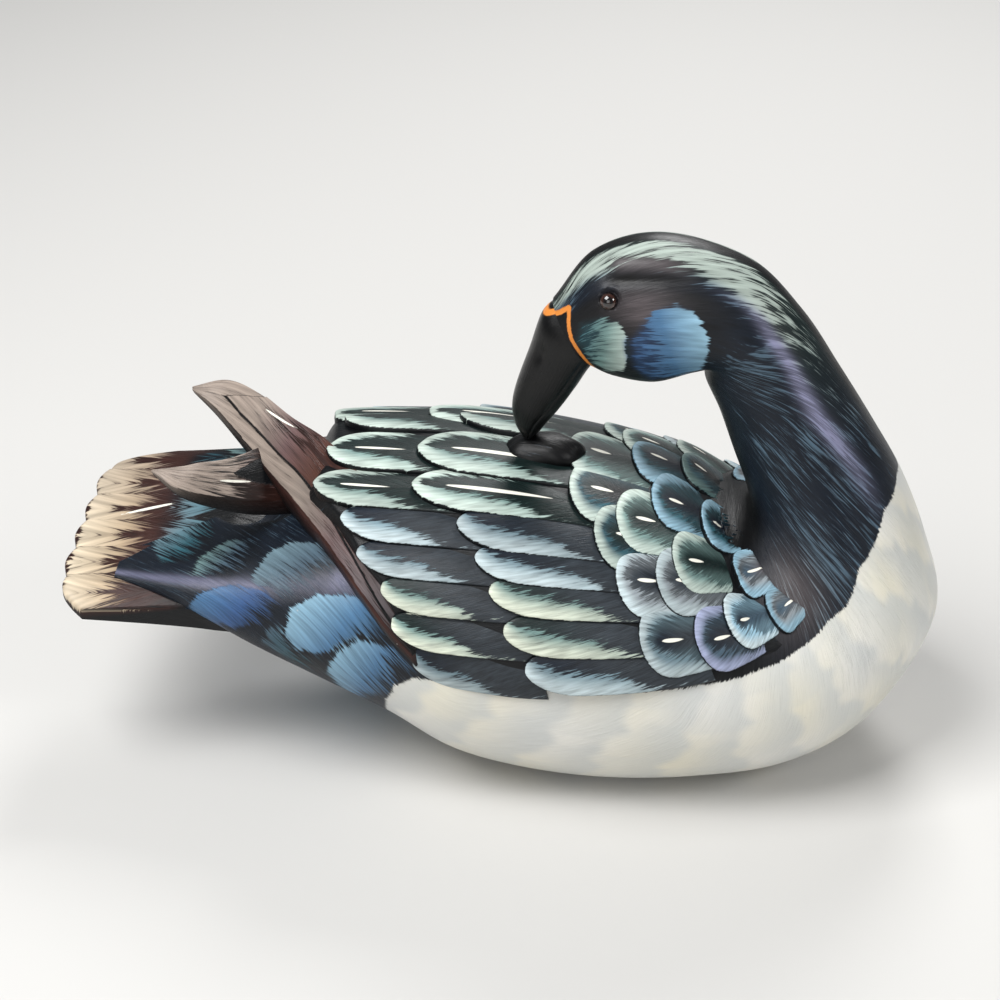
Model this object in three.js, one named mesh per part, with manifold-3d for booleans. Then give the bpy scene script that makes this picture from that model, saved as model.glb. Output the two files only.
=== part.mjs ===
// Carved and painted wooden goose resting on its flat underside, neck laid back over the body in a
// preening pose. Millimetres, +X towards the breast, +Y the bird's left, +Z up, the origin at the
// centre of the flat underside. Three physical pieces: the carving and two glass eyes.

import * as THREE from 'three';
import { LoftGeometry } from 'three/addons/geometries/LoftGeometry.js';
import { mergeVertices } from 'three/addons/utils/BufferGeometryUtils.js';
import Module from 'manifold-3d';

const wasm = await Module();
wasm.setup();

// Driving sizes

const EYE_RADIUS = 4;
const EYE_GAP = 0.3;
const EYE_STATION = 19.82;
const EYE_ANGLE = 116;

const FEATHER_ROOT_DEPTH = 4;
const FEATHER_CROWN = 0.7;
const COVERT_TIP_LIFT = 2.2;
const COVERT_EDGE_LIFT = 1.1;
const SCAPULAR_TIP_LIFT = 1.9;
const SCAPULAR_EDGE_LIFT = 0.3;

const BLADE_TIP_THICKNESS = 2.5;
const RIGHT_BLADE_THICKNESS = 15;
const LEFT_BLADE_THICKNESS = 8;
const BLADE_ROOT_THICKNESS = 5;

const TAIL_ROOT_X = -150;
const TAIL_HUMP_X = -178;
const TAIL_END_X = -248;
const TAIL_HALF_WIDTH = 58;
const TAIL_ROOT_HALF_WIDTH = 49;
const TAIL_HEIGHT = 91.5;
const TAIL_TILT = 0.15;
const TAIL_HUMP = 6;
const TAIL_FEATHERS = 6;
const TAIL_STEP = 1.6;
const TAIL_DROOP = 4;
const TAIL_EDGE_THICKNESS = 4;
const TAIL_ROOT_THICKNESS = 15;
const TAIL_SCALLOP = 3;
const TAIL_NEAR_CORNER = 11;
const TAIL_FAR_CORNER = 24;

const HOLLOW_CENTRE = [-172, 4, 122];
const HOLLOW_RADII = [36, 26, 28];

// Low knot of back feathers that the bill tip rests on.

const CONTACT_CENTRE = [-35, 0, 137.5];
const CONTACT_RADII = [22, 14, 9.8];

// Body stations from the tail root to the face. Each gives the inner rail (back, rear of the neck,
// jaw) and the outer rail (belly, breast, crown) as [x, z], the half width and the roundness.

const BODY = [
  { inner: [-226, 88.5], outer: [-226, 84], half: 40, round: 0.8 },
  { inner: [-194, 95], outer: [-195, 73], half: 51, round: 0.74 },
  { inner: [-161, 103], outer: [-164, 52], half: 59, round: 0.8 },
  { inner: [-130, 114], outer: [-133, 34], half: 66, round: 0.84 },
  { inner: [-100, 124], outer: [-101, 17], half: 75, round: 0.9 },
  { inner: [-68, 131], outer: [-71, 0], half: 84.5, round: 0.9 },
  { inner: [-36, 133], outer: [-36, -9], half: 87.5, round: 0.9 },
  { inner: [-6, 129], outer: [2, -11], half: 88.5, round: 0.9 },
  { inner: [20, 123], outer: [41, -7], half: 87.5, round: 0.9 },
  { inner: [38, 117], outer: [80, 1], half: 83, round: 0.9 },
  { inner: [49, 113], outer: [112, 19], half: 76, round: 0.9 },
  { inner: [56, 115], outer: [134, 45], half: 66, round: 0.95 },
  { inner: [57, 122], outer: [145, 73], half: 54.5, round: 1 },
  { inner: [54, 133], outer: [137, 104], half: 43.5, round: 1 },
  { inner: [48.5, 147], outer: [125, 133], half: 36, round: 1 },
  { inner: [41.5, 166], outer: [110.5, 158], half: 30.5, round: 1 },
  { inner: [35, 180], outer: [94, 184], half: 27.5, round: 1 },
  { inner: [34, 187], outer: [76, 210.5], half: 26, round: 1 },
  { inner: [28, 183.5], outer: [52, 234], half: 25.5, round: 1 },
  { inner: [13, 177.5], outer: [15, 245], half: 24.5, round: 1 },
  { inner: [-4.5, 179.5], outer: [-14.5, 236.5], half: 21, round: 1 },
  { inner: [-15.5, 184.5], outer: [-32, 213.5], half: 14.5, round: 1 },
];

// Folded wings, one shawl over the back that the feathers follow, from the rear to the shoulders.

const SHAWL = [
  { inner: [-140, 137.5], outer: [-75, 37], half: 72, round: 0.9 },
  { inner: [-112, 139.5], outer: [-58, 22], half: 80, round: 0.9 },
  { inner: [-82, 140.5], outer: [-40, 12], half: 86, round: 0.9 },
  { inner: [-54, 139.5], outer: [-20, 2], half: 89, round: 0.9 },
  { inner: [-26, 136.5], outer: [5, -4], half: 90, round: 0.9 },
  { inner: [0, 131.5], outer: [38, -3], half: 89.5, round: 0.9 },
  { inner: [22, 125.5], outer: [72, 3], half: 86, round: 0.9 },
  { inner: [38, 118], outer: [102, 17], half: 79, round: 0.9 },
  { inner: [50, 110], outer: [120, 38], half: 72.5, round: 0.9 },
  { inner: [68, 100], outer: [130, 74], half: 61, round: 0.95 },
];

// Bill stations: inner rail under the bill, outer rail over it.

const BILL = [
  { inner: [-10, 189], outer: [-31, 213], half: 13, round: 0.9 },
  { inner: [-15.5, 182.5], outer: [-37, 206], half: 13.5, round: 0.85 },
  { inner: [-21, 173], outer: [-42, 190], half: 12, round: 0.85 },
  { inner: [-28, 162], outer: [-47.5, 173], half: 10.5, round: 0.85 },
  { inner: [-34, 154], outer: [-49.5, 163], half: 9.5, round: 0.85 },
  { inner: [-37, 149.5], outer: [-48.5, 154.5], half: 8, round: 0.9 },
  { inner: [-40, 145.5], outer: [-45.5, 147.5], half: 4.5, round: 1 },
];

// Wing coverts, two columns of eight: tip station along the shawl (counted from its first station)
// and tip angle from the ridge in degrees, positive on the bird's right; then the column's reach.

const REAR_COVERTS = {
  tips: [0.38, 0.28, 0.1, 0.5, 0.65, 0.9, 0.83, 0.88],
  angles: [-16, 5, 24, 39, 53, 66, 80.5, 94],
  reach: 2.5,
};
const FRONT_COVERTS = {
  tips: [2.18, 1.68, 1.65, 2.33, 2.58, 2.75, 2.88, 3.12],
  angles: [-17, 4, 21.5, 35.5, 47, 58, 71, 83],
  reach: 3,
};
const COVERT_SPREAD_ON_RIDGE = 11.5;
const COVERT_SPREAD_ON_SIDE = 8;
const COVERT_CONVERGENCE = 0.037;

// Scapulars, rounder feathers in front of the coverts: tip station and tip angle in degrees.

const SCAPULARS = [
  [4.03, -4], [4.1, 13], [4.5, 30], [4.8, 46], [5.03, 67],
  [5.12, -10], [4.88, 22], [5.5, 44], [5.98, 66],
  [5.55, 10], [5.88, 35], [6.75, 59],
  [6.15, -15], [6.75, 13], [7.6, 36], [8.1, 58],
];
const SCAPULAR_REACH = 1.6;
const SCAPULAR_SPREAD = 14.5;

// Long wing blades. Upper surface as pairs of edge points [x, y, z] from the tip to the root: the
// edge nearer the ridge first, the rear edge second. The right wing's blade lies over the left's.

const RIGHT_BLADE = [
  [[-202, 37, 145], [-202, 36, 144]],
  [[-186, 41, 147], [-191, 29, 138.5]],
  [[-169, 29, 147], [-175, 12, 131.5]],
  [[-151, 13, 143], [-160, -8, 126]],
  [[-132, -4, 141], [-145, -29, 123.5]],
  [[-113, -28, 136], [-130, -47, 117]],
  [[-98, -50, 124], [-114, -66, 107]],
  [[-86, -68, 106], [-99, -79, 94]],
  [[-76, -76, 86], [-86, -83, 80]],
];
const LEFT_BLADE = [
  [[-205, -39, 142], [-205, -38, 142]],
  [[-193, -43, 135], [-190, -28, 139.5]],
  [[-178, -33, 125], [-176, -10, 133]],
  [[-162, -20, 117], [-163, 9, 130]],
  [[-143, -4, 113], [-148, 27, 124]],
  [[-121, 18, 114], [-130, 47, 117]],
  [[-100, 46, 112], [-114, 66, 107]],
  [[-86, 68, 100], [-99, 79, 94]],
  [[-76, 76, 86], [-86, 83, 80]],
];

// Curves and skins

function rail(points) {
  return new THREE.CatmullRomCurve3(points, false, 'catmullrom', 0.5);
}

function skinOf(stations) {
  return {
    inner: rail(stations.map((s) => new THREE.Vector3(s.inner[0], 0, s.inner[1]))),
    outer: rail(stations.map((s) => new THREE.Vector3(s.outer[0], 0, s.outer[1]))),
    girth: rail(stations.map((s) => new THREE.Vector3(s.half, s.round, 0))),
    last: stations.length - 1,
  };
}

function powered(value, exponent) {
  return Math.sign(value) * Math.abs(value) ** exponent;
}

// Point of a skin at a station, whole or between two, at an angle in radians from the inner rail,
// positive on the bird's right.
function skinPoint(skin, station, angle) {
  const t = station / skin.last;
  const inner = skin.inner.getPoint(t);
  const outer = skin.outer.getPoint(t);
  const girth = skin.girth.getPoint(t);
  const middle = inner.clone().add(outer).multiplyScalar(0.5);
  const half = inner.sub(outer).multiplyScalar(0.5);
  const point = middle.addScaledVector(half, powered(Math.cos(angle), girth.y));
  point.y -= girth.x * powered(Math.sin(angle), girth.y);
  return point;
}

function skinNormal(skin, station, angle) {
  const step = 0.03;
  const from = Math.max(station - step, 0);
  const to = Math.min(station + step, skin.last);
  const along = skinPoint(skin, to, angle).sub(skinPoint(skin, from, angle));
  const around = skinPoint(skin, station, angle + step).sub(skinPoint(skin, station, angle - step));
  return along.cross(around).normalize().negate();
}

function skinLoft(stations, rows, columns) {
  const skin = skinOf(stations);
  const sections = [];
  for (let i = 0; i <= rows; i++) {
    const section = [];
    for (let j = 0; j < columns; j++) {
      section.push(skinPoint(skin, (i / rows) * skin.last, (j / columns) * 2 * Math.PI));
    }
    sections.push(section);
  }
  return new LoftGeometry(sections, { capStart: true, capEnd: true });
}

// Solids

function positionsOnly(geometry) {
  const bare = new THREE.BufferGeometry();
  bare.setAttribute('position', geometry.attributes.position.clone());
  bare.setIndex(geometry.index.clone());
  return bare;
}

function solid(geometry) {
  const merged = mergeVertices(positionsOnly(geometry), 1e-4);
  return new wasm.Manifold(new wasm.Mesh({
    numProp: 3,
    vertProperties: new Float32Array(merged.attributes.position.array),
    triVerts: new Uint32Array(merged.index.array),
  }));
}

// The same geometry on the bird's other side.
function mirrored(geometry) {
  const copy = positionsOnly(geometry).scale(1, -1, 1);
  const index = copy.index.array;
  for (let i = 0; i < index.length; i += 3) {
    [index[i + 1], index[i + 2]] = [index[i + 2], index[i + 1]];
  }
  return copy;
}

function box(size, centre) {
  return new THREE.BoxGeometry(...size).translate(...centre);
}

function ball(radii, centre, segments) {
  const sphere = new THREE.SphereGeometry(1, segments, segments / 2);
  return sphere.scale(...radii).translate(...centre);
}

function meshOf(name, manifold, look) {
  const mesh = manifold.getMesh();
  const geometry = new THREE.BufferGeometry();
  geometry.setAttribute('position', new THREE.Float32BufferAttribute(mesh.vertProperties, 3));
  geometry.setIndex(new THREE.Uint32BufferAttribute(mesh.triVerts, 1));
  geometry.computeVertexNormals();
  const result = new THREE.Mesh(geometry, new THREE.MeshStandardMaterial(look));
  result.name = name;
  return result;
}

// Feathers: a shingle that follows the shawl, its tip proud of the surface and its root buried.
// The outline is round at the tip and keeps its width from a third of the length. The sections
// stand at these parts of the length, tip to root.

const FEATHER_RUN = [0, 0.07, 0.24, 0.6, 1];

function featherWidth(run) {
  const towardsTip = Math.max(0, 1 - run / 0.34);
  return Math.sqrt(1 - 0.92 * towardsTip ** 2.4) * (1 - 0.12 * run);
}

function feather(skin, tip, root, spread, tipLift, edgeLift) {
  const reach = Math.min(root[0], skin.last) - tip[0];
  const sections = FEATHER_RUN.map((run) => {
    const station = tip[0] + reach * run;
    const middle = tip[1] + (root[1] - tip[1]) * run;
    const above = [];
    const below = [];
    for (const across of [-1, 0, 1]) {
      const degrees = middle + across * spread * featherWidth(run);
      const angle = THREE.MathUtils.degToRad(degrees);
      const foot = skinPoint(skin, station, angle);
      const normal = skinNormal(skin, station, angle);
      const crown = across === 0 ? FEATHER_CROWN : 0;
      const lift = tipLift * (1 - 1.6 * run) + edgeLift * across + crown;
      above.push(foot.clone().addScaledVector(normal, lift));
      below.unshift(foot.clone().addScaledVector(normal, -FEATHER_ROOT_DEPTH));
    }
    return [...above, ...below];
  });
  return new LoftGeometry(sections, { capStart: true, capEnd: true });
}

function covert(skin, column, row) {
  const angle = column.angles[row];
  const downTheSide = Math.min(Math.abs(angle) / 50, 1);
  return feather(
    skin,
    [column.tips[row], angle],
    [column.tips[row] + column.reach, angle * (1 - COVERT_CONVERGENCE * column.reach)],
    THREE.MathUtils.lerp(COVERT_SPREAD_ON_RIDGE, COVERT_SPREAD_ON_SIDE, downTheSide),
    COVERT_TIP_LIFT,
    COVERT_EDGE_LIFT,
  );
}

function scapular(skin, [station, angle]) {
  return feather(
    skin,
    [station, angle],
    [station + SCAPULAR_REACH, angle * 0.92],
    SCAPULAR_SPREAD * (1 - 0.03 * (station - 4)),
    SCAPULAR_TIP_LIFT,
    SCAPULAR_EDGE_LIFT,
  );
}

// All feathers of one wing from a girth angle down; the left wing leaves out those on the ridge.
function wingFeathers(fromAngle) {
  const skin = skinOf(SHAWL);
  const feathers = [];
  for (const column of [REAR_COVERTS, FRONT_COVERTS]) {
    column.angles.forEach((angle, row) => {
      if (angle > fromAngle) feathers.push(covert(skin, column, row));
    });
  }
  for (const place of SCAPULARS) {
    if (place[1] > fromAngle) feathers.push(scapular(skin, place));
  }
  return feathers;
}

// Wing blades: a tapered board under the pair of edges, thin at the tip and thick at the root.

function blade(pairs, thickness, flipped) {
  const edges = [0, 1].map((side) => rail(pairs.map((pair) => new THREE.Vector3(...pair[side]))));
  const rows = 12;
  const sections = [];
  for (let i = 0; i <= rows; i++) {
    const t = i / rows;
    const front = edges[0].getPoint(t);
    const rear = edges[1].getPoint(t);
    const crest = front.clone().lerp(rear, 0.5);
    crest.z += 2 * Math.sin(Math.PI * Math.min(t * 1.4, 0.5));
    const depth = t < 0.5
      ? THREE.MathUtils.lerp(BLADE_TIP_THICKNESS, thickness, t * 2)
      : THREE.MathUtils.lerp(thickness, BLADE_ROOT_THICKNESS, t * 2 - 1);
    const down = new THREE.Vector3(0.35, 0, -1).multiplyScalar(depth);
    const section = [front, crest, rear, rear.clone().add(down), front.clone().add(down)];
    sections.push(flipped ? section.reverse() : section);
  }
  return new LoftGeometry(sections, { capStart: true, capEnd: true });
}

// Tail fan: feathers side by side, each a step under the next, the fan drooping at both sides.
// Its top swells to a hump over the rump and dips into the body in front of it.

function tailPoint(x, across, step, isUnderside) {
  const run = (TAIL_HUMP_X - x) / (TAIL_HUMP_X - TAIL_END_X);
  const behind = Math.max(0, run);
  const swell = run < 0 ? 1 + 3.5 * run : Math.max(0, 1 - run) ** 1.25;
  const droop = TAIL_DROOP * Math.max(0, (Math.abs(across) - 0.62) / 0.38) ** 2;
  const y = across * THREE.MathUtils.lerp(TAIL_ROOT_HALF_WIDTH, TAIL_HALF_WIDTH, behind);
  const top = TAIL_HEIGHT + TAIL_HUMP * (1 + across) * swell + TAIL_TILT * y - droop + step * behind;
  const thickness = THREE.MathUtils.lerp(TAIL_ROOT_THICKNESS, TAIL_EDGE_THICKNESS, behind ** 0.8);
  return new THREE.Vector3(x, y, isUnderside ? top - thickness : top);
}

function tailSection(across, step, scallop) {
  const outer = Math.max(0, (Math.abs(across) - 0.6) / 0.4) ** 2.2;
  const corner = (across > 0 ? TAIL_FAR_CORNER : TAIL_NEAR_CORNER) * outer;
  const end = TAIL_END_X + corner + 3 * Math.max(0, across) - scallop;
  const stations = [TAIL_ROOT_X, TAIL_HUMP_X, (TAIL_HUMP_X + end) / 2, end];
  const below = stations.map((x) => tailPoint(x, across, step, true));
  const above = stations.map((x) => tailPoint(x, across, step, false)).reverse();
  return [...below, ...above];
}

function tailFan() {
  const sections = [];
  for (let index = 0; index < TAIL_FEATHERS; index++) {
    for (const part of [0.03, 0.35, 0.7, 0.97]) {
      const across = ((index + part) / TAIL_FEATHERS) * 2 - 1;
      const step = TAIL_STEP * (part - 0.5);
      sections.push(tailSection(across, step, TAIL_SCALLOP * Math.sin(Math.PI * part)));
    }
  }
  return new LoftGeometry(sections, { capStart: true, capEnd: true });
}

// Eyes and their sockets

function eyeCentre(side) {
  const skin = skinOf(BODY);
  const angle = THREE.MathUtils.degToRad(EYE_ANGLE);
  const centre = skinPoint(skin, EYE_STATION, angle);
  centre.addScaledVector(skinNormal(skin, EYE_STATION, angle), -1.6);
  return [centre.x, side * Math.abs(centre.y), centre.z];
}

function eye(name, side) {
  const look = { color: 0x2a1008, roughness: 0.08, metalness: 0 };
  const geometry = new THREE.SphereGeometry(EYE_RADIUS, 12, 8);
  const mesh = new THREE.Mesh(geometry, new THREE.MeshStandardMaterial(look));
  mesh.name = name;
  mesh.position.set(...eyeCentre(side));
  return mesh;
}

function socket(side) {
  const radius = EYE_RADIUS + EYE_GAP;
  return solid(ball([radius, radius, radius], eyeCentre(side), 14));
}

// The carving

function carving() {
  let body = solid(skinLoft(BODY, 50, 24));
  body = body.subtract(solid(ball(HOLLOW_RADII, HOLLOW_CENTRE, 16)));
  const parts = [
    skinLoft(SHAWL, 13, 22),
    skinLoft(BILL, 9, 14),
    ball(CONTACT_RADII, CONTACT_CENTRE, 12),
    tailFan(),
    blade(RIGHT_BLADE, RIGHT_BLADE_THICKNESS, false),
    blade(LEFT_BLADE, LEFT_BLADE_THICKNESS, true),
    ...wingFeathers(-90),
    ...wingFeathers(20).map(mirrored),
  ];
  for (const part of parts) {
    body = body.add(solid(part));
  }
  body = body.subtract(solid(box([600, 400, 60], [0, 0, -30])));
  return body.subtract(socket(-1)).subtract(socket(1));
}

const goose = new THREE.Group();
goose.name = 'preening_goose';
goose.add(
  meshOf('carved_goose', carving(), { color: 0x3d5560, roughness: 0.45, metalness: 0 }),
  eye('eye_right', -1),
  eye('eye_left', 1),
);

export default goose;
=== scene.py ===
"""Carved and hand-painted wooden goose, preening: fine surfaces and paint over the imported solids.

The carving's skin, feathers, wing blades and tail are worked out again from the same stations as the
solids, densely enough to carry the tool marks, and each point gets the paint that lies on it. Sizes
are in millimetres here, as on a carver's drawing, and meshes are written in metres. +X runs towards
the breast, +Y to the bird's left and +Z up. Every piece rides on the one body, "root".
"""

import logging
import math
from dataclasses import dataclass, field
from enum import Enum

import bpy
import numpy as np
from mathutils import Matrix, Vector
from numpy.typing import NDArray


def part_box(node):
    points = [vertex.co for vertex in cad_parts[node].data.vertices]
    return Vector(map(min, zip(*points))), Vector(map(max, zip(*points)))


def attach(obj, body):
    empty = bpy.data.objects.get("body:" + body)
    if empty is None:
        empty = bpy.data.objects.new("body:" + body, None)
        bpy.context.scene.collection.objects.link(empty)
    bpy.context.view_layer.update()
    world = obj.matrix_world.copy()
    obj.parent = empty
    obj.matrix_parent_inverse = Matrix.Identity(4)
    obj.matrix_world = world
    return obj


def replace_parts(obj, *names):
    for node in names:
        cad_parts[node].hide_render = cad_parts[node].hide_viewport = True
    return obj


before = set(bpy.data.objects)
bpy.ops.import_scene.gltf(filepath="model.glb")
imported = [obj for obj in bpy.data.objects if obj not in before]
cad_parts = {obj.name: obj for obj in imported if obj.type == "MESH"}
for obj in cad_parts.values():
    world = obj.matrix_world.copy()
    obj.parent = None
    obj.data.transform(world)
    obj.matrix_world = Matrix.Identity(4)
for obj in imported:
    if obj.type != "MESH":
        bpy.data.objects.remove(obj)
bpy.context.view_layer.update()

Floats = NDArray[np.float64]
Ints = NDArray[np.int64]
Socket = bpy.types.NodeSocket

MM = 0.001
BODY_NAME = "root"
LOG = logging.getLogger("goose")


# Colours


def paint(code: str) -> Floats:
    """Turns a paint's six-digit code into linear light.

    Args:
        code: Red, green and blue as two hexadecimal digits each.

    Returns:
        The three linear values.
    """
    shown = np.array([int(code[i : i + 2], 16) for i in (0, 2, 4)]) / 255.0
    return np.where(shown <= 0.04045, shown / 12.92, ((shown + 0.055) / 1.055) ** 2.4)


class Pot(Enum):
    """The painter's pots."""

    NIGHT = "07090c"
    NAVY = "0f1824"
    SOOT = "060607"
    DEEP_TEAL = "10201f"
    IRON = "33393f"
    SLATE = "435664"
    STEEL = "6d858f"
    MOSS = "6f8c88"
    MINT = "c2d0c6"
    CREAM = "dde3d0"
    ICE = "bccacd"
    SKY = "8fb4c6"
    BLUE = "4a7194"
    VIVID = "33527f"
    TEAL = "2c5661"
    LILAC = "9aa1bd"
    MAUVE = "7f809b"
    GREY = "8a9297"
    PLUM = "5d5557"
    WHITE = "e8e6df"
    WARM = "e4dfcd"
    SHADE = "c3c7c7"
    TAN = "a8947a"
    STRAW = "cfc0a8"
    RUST = "4e2c20"
    MAROON = "341c17"
    TAUPE = "8f8278"
    BARK = "17100d"
    ROSE = "66504f"
    ORANGE = "e08a3c"
    QUILL = "f3f1e4"

    @property
    def light(self) -> Floats:
        """The pot's colour in linear light."""
        return paint(self.value)


# Curves and fields


def curve(points: Floats, place: Floats) -> Floats:
    """Runs a uniform Catmull-Rom curve through points, its ends carried on by reflection.

    Between two points it is the cubic that leaves each with half the chord of its neighbours.

    Args:
        points: The points, one a row.
        place: Where to read it, 0 at the first point and 1 more at each next one.

    Returns:
        The values at each place, with one more axis than place.
    """
    last = len(points) - 1
    ahead = np.concatenate([[2 * points[0] - points[1]], points, [2 * points[-1] - points[-2]]])
    index = np.clip(np.floor(place).astype(int), 0, last - 1)
    part = (place - index)[..., None]
    before, start, end, after = (ahead[index + step] for step in range(4))
    leave = 0.5 * (end - before)
    arrive = 0.5 * (after - start)
    bend = -3 * start + 3 * end - 2 * leave - arrive
    twist = 2 * start - 2 * end + leave + arrive
    return start + leave * part + bend * part**2 + twist * part**3


def powered(value: Floats, exponent: Floats) -> Floats:
    """Raises the size of a value to a power and keeps its sign."""
    return np.sign(value) * np.abs(value) ** exponent


def ease(value: Floats, low: float, high: float) -> Floats:
    """Goes smoothly from 0 at low to 1 at high."""
    part = np.clip((value - low) / (high - low), 0.0, 1.0)
    return part * part * (3 - 2 * part)


def blend(start: Floats, end: Floats, share: Floats) -> Floats:
    """Mixes two colours, or fields of them, by a field of shares."""
    return start + (end - start) * share[..., None]


def path_distance(points: Floats, path: Floats) -> Floats:
    """Measures how far points are from a chain of straight lines.

    Args:
        points: Points with their coordinates on the last axis.
        path: The chain's corners, one a row.

    Returns:
        The least distance of each point.
    """
    nearest = np.full(points.shape[:-1], np.inf)
    for start, end in zip(path[:-1], path[1:]):
        run = end - start
        share = np.clip(((points - start) @ run) / (run @ run), 0.0, 1.0)
        nearest = np.minimum(nearest, np.linalg.norm(points - start - share[..., None] * run, axis=-1))
    return nearest


def outline_distance(points: Floats, corners: Floats) -> Floats:
    """Measures a signed distance to a closed outline in a plane, positive inside it.

    Args:
        points: Points in the plane, two coordinates on the last axis.
        corners: The outline's corners, one a row.

    Returns:
        The signed distance of each point.
    """
    closed = np.vstack([corners, corners[:1]])
    crossings = np.zeros(points.shape[:-1], dtype=int)
    for (ax, ay), (bx, by) in zip(closed[:-1], closed[1:]):
        spans = (ay > points[..., 1]) != (by > points[..., 1])
        slope = (bx - ax) / (by - ay) if by != ay else 0.0
        crossings += spans & (points[..., 0] < ax + slope * (points[..., 1] - ay))
    return path_distance(points, closed) * np.where(crossings % 2 == 1, 1.0, -1.0)


@dataclass(frozen=True)
class Skin:
    """A skin between two rails in the bird's middle plane.

    Attributes:
        stations: Inner rail x and z, outer rail x and z, half width and roundness at each station.
    """

    stations: tuple[tuple[float, ...], ...]

    @property
    def last(self) -> int:
        """The last station's number."""
        return len(self.stations) - 1

    def point(self, station: Floats, angle: Floats) -> Floats:
        """Gives points of the skin.

        Each section is a rounded ring: its middle is halfway between the rails, and it swings from the
        inner to the outer rail with the cosine of the angle and sideways with the sine, both raised to
        the section's roundness.

        Args:
            station: Place along the skin.
            angle: Angle round it in radians, 0 on the inner rail, positive on the bird's right.

        Returns:
            The points in millimetres.
        """
        values = curve(np.array(self.stations), station)
        zero = np.zeros_like(values[..., 0])
        inner = np.stack([values[..., 0], zero, values[..., 1]], axis=-1)
        outer = np.stack([values[..., 2], zero, values[..., 3]], axis=-1)
        half, exponent = values[..., 4], values[..., 5]
        swing = powered(np.cos(angle), exponent)[..., None]
        result = (inner + outer) / 2 + (inner - outer) / 2 * swing
        result[..., 1] -= half * powered(np.sin(angle), exponent)
        return result

    def normal(self, station: Floats, angle: Floats) -> Floats:
        """Gives the outward normals, from differences along and round the skin.

        Args:
            station: Place along the skin.
            angle: Angle round it in radians.

        Returns:
            Unit normals.
        """
        step = 0.03
        low = np.clip(station - step, 0, self.last)
        high = np.clip(station + step, 0, self.last)
        along = self.point(high, angle) - self.point(low, angle)
        around = self.point(station, angle + step) - self.point(station, angle - step)
        across = -np.cross(along, around)
        return across / np.maximum(np.linalg.norm(across, axis=-1, keepdims=True), 1e-9)


    def rise(self, points: Floats, normals: Floats, stations: tuple[float, float], turns: tuple[float, float]) -> Floats:
        """Measures how far a part of this skin stands above other points, along their normals.

        Each point takes the sample of the skin nearest to the line along its normal, and the line is
        cut by the plane that touches the skin there.

        Args:
            points: Rows of points below.
            normals: Their normals.
            stations: First and last station of the part.
            turns: First and last angle of the part in degrees.

        Returns:
            The height at each point, or -9 where the skin doesn't pass above.
        """
        station, angle = grid_of(np.linspace(*stations, 90), np.radians(np.linspace(*turns, 120)))
        samples = self.point(station, angle).reshape(-1, 3)
        faces = self.normal(station, angle).reshape(-1, 3)
        heights = []
        for row, normal in zip(points, normals):
            offset = samples[None] - row[:, None]
            height = np.einsum("ijk,ik->ij", offset, normal)
            beside = (offset**2).sum(axis=-1) - height**2 + 1e4 * ((height < -8) | (height > 30))
            nearest = beside.argmin(axis=1)
            plane = faces[nearest]
            facing = (plane * normal).sum(axis=-1)
            cut = ((samples[nearest] - row) * plane).sum(axis=-1) / np.where(facing > 0.2, facing, 1)
            heights.append(np.where((beside.min(axis=1) < 9) & (facing > 0.2), cut, -9.0))
        return np.array(heights)


BODY = Skin(
    (
        (-226, 88.5, -226, 84, 40, 0.8),
        (-194, 95, -195, 73, 51, 0.74),
        (-161, 103, -164, 52, 59, 0.8),
        (-130, 114, -133, 34, 66, 0.84),
        (-100, 124, -101, 17, 75, 0.9),
        (-68, 131, -71, 0, 84.5, 0.9),
        (-36, 133, -36, -9, 87.5, 0.9),
        (-6, 129, 2, -11, 88.5, 0.9),
        (20, 123, 41, -7, 87.5, 0.9),
        (38, 117, 80, 1, 83, 0.9),
        (49, 113, 112, 19, 76, 0.9),
        (56, 115, 134, 45, 66, 0.95),
        (57, 122, 145, 73, 54.5, 1),
        (54, 133, 137, 104, 43.5, 1),
        (48.5, 147, 125, 133, 36, 1),
        (41.5, 166, 110.5, 158, 30.5, 1),
        (35, 180, 94, 184, 27.5, 1),
        (34, 187, 76, 210.5, 26, 1),
        (28, 183.5, 52, 234, 25.5, 1),
        (13, 177.5, 15, 245, 24.5, 1),
        (-4.5, 179.5, -14.5, 236.5, 21, 1),
        (-15.5, 184.5, -32, 213.5, 14.5, 1),
    )
)

SHAWL = Skin(
    (
        (-140, 137.5, -75, 37, 72, 0.9),
        (-112, 139.5, -58, 22, 80, 0.9),
        (-82, 140.5, -40, 12, 86, 0.9),
        (-54, 139.5, -20, 2, 89, 0.9),
        (-26, 136.5, 5, -4, 90, 0.9),
        (0, 131.5, 38, -3, 89.5, 0.9),
        (22, 125.5, 72, 3, 86, 0.9),
        (38, 118, 102, 17, 79, 0.9),
        (50, 110, 120, 38, 72.5, 0.9),
        (68, 100, 130, 74, 61, 0.95),
    )
)

BILL = Skin(
    (
        (-10, 189, -31, 213, 13, 0.9),
        (-15.5, 182.5, -37, 206, 13.5, 0.85),
        (-21, 173, -42, 190, 12, 0.85),
        (-28, 162, -47.5, 173, 10.5, 0.85),
        (-34, 154, -49.5, 163, 9.5, 0.85),
        (-37, 149.5, -48.5, 154.5, 8, 0.9),
        (-40, 145.5, -45.5, 147.5, 4.5, 1),
    )
)


# Painted surfaces


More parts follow.
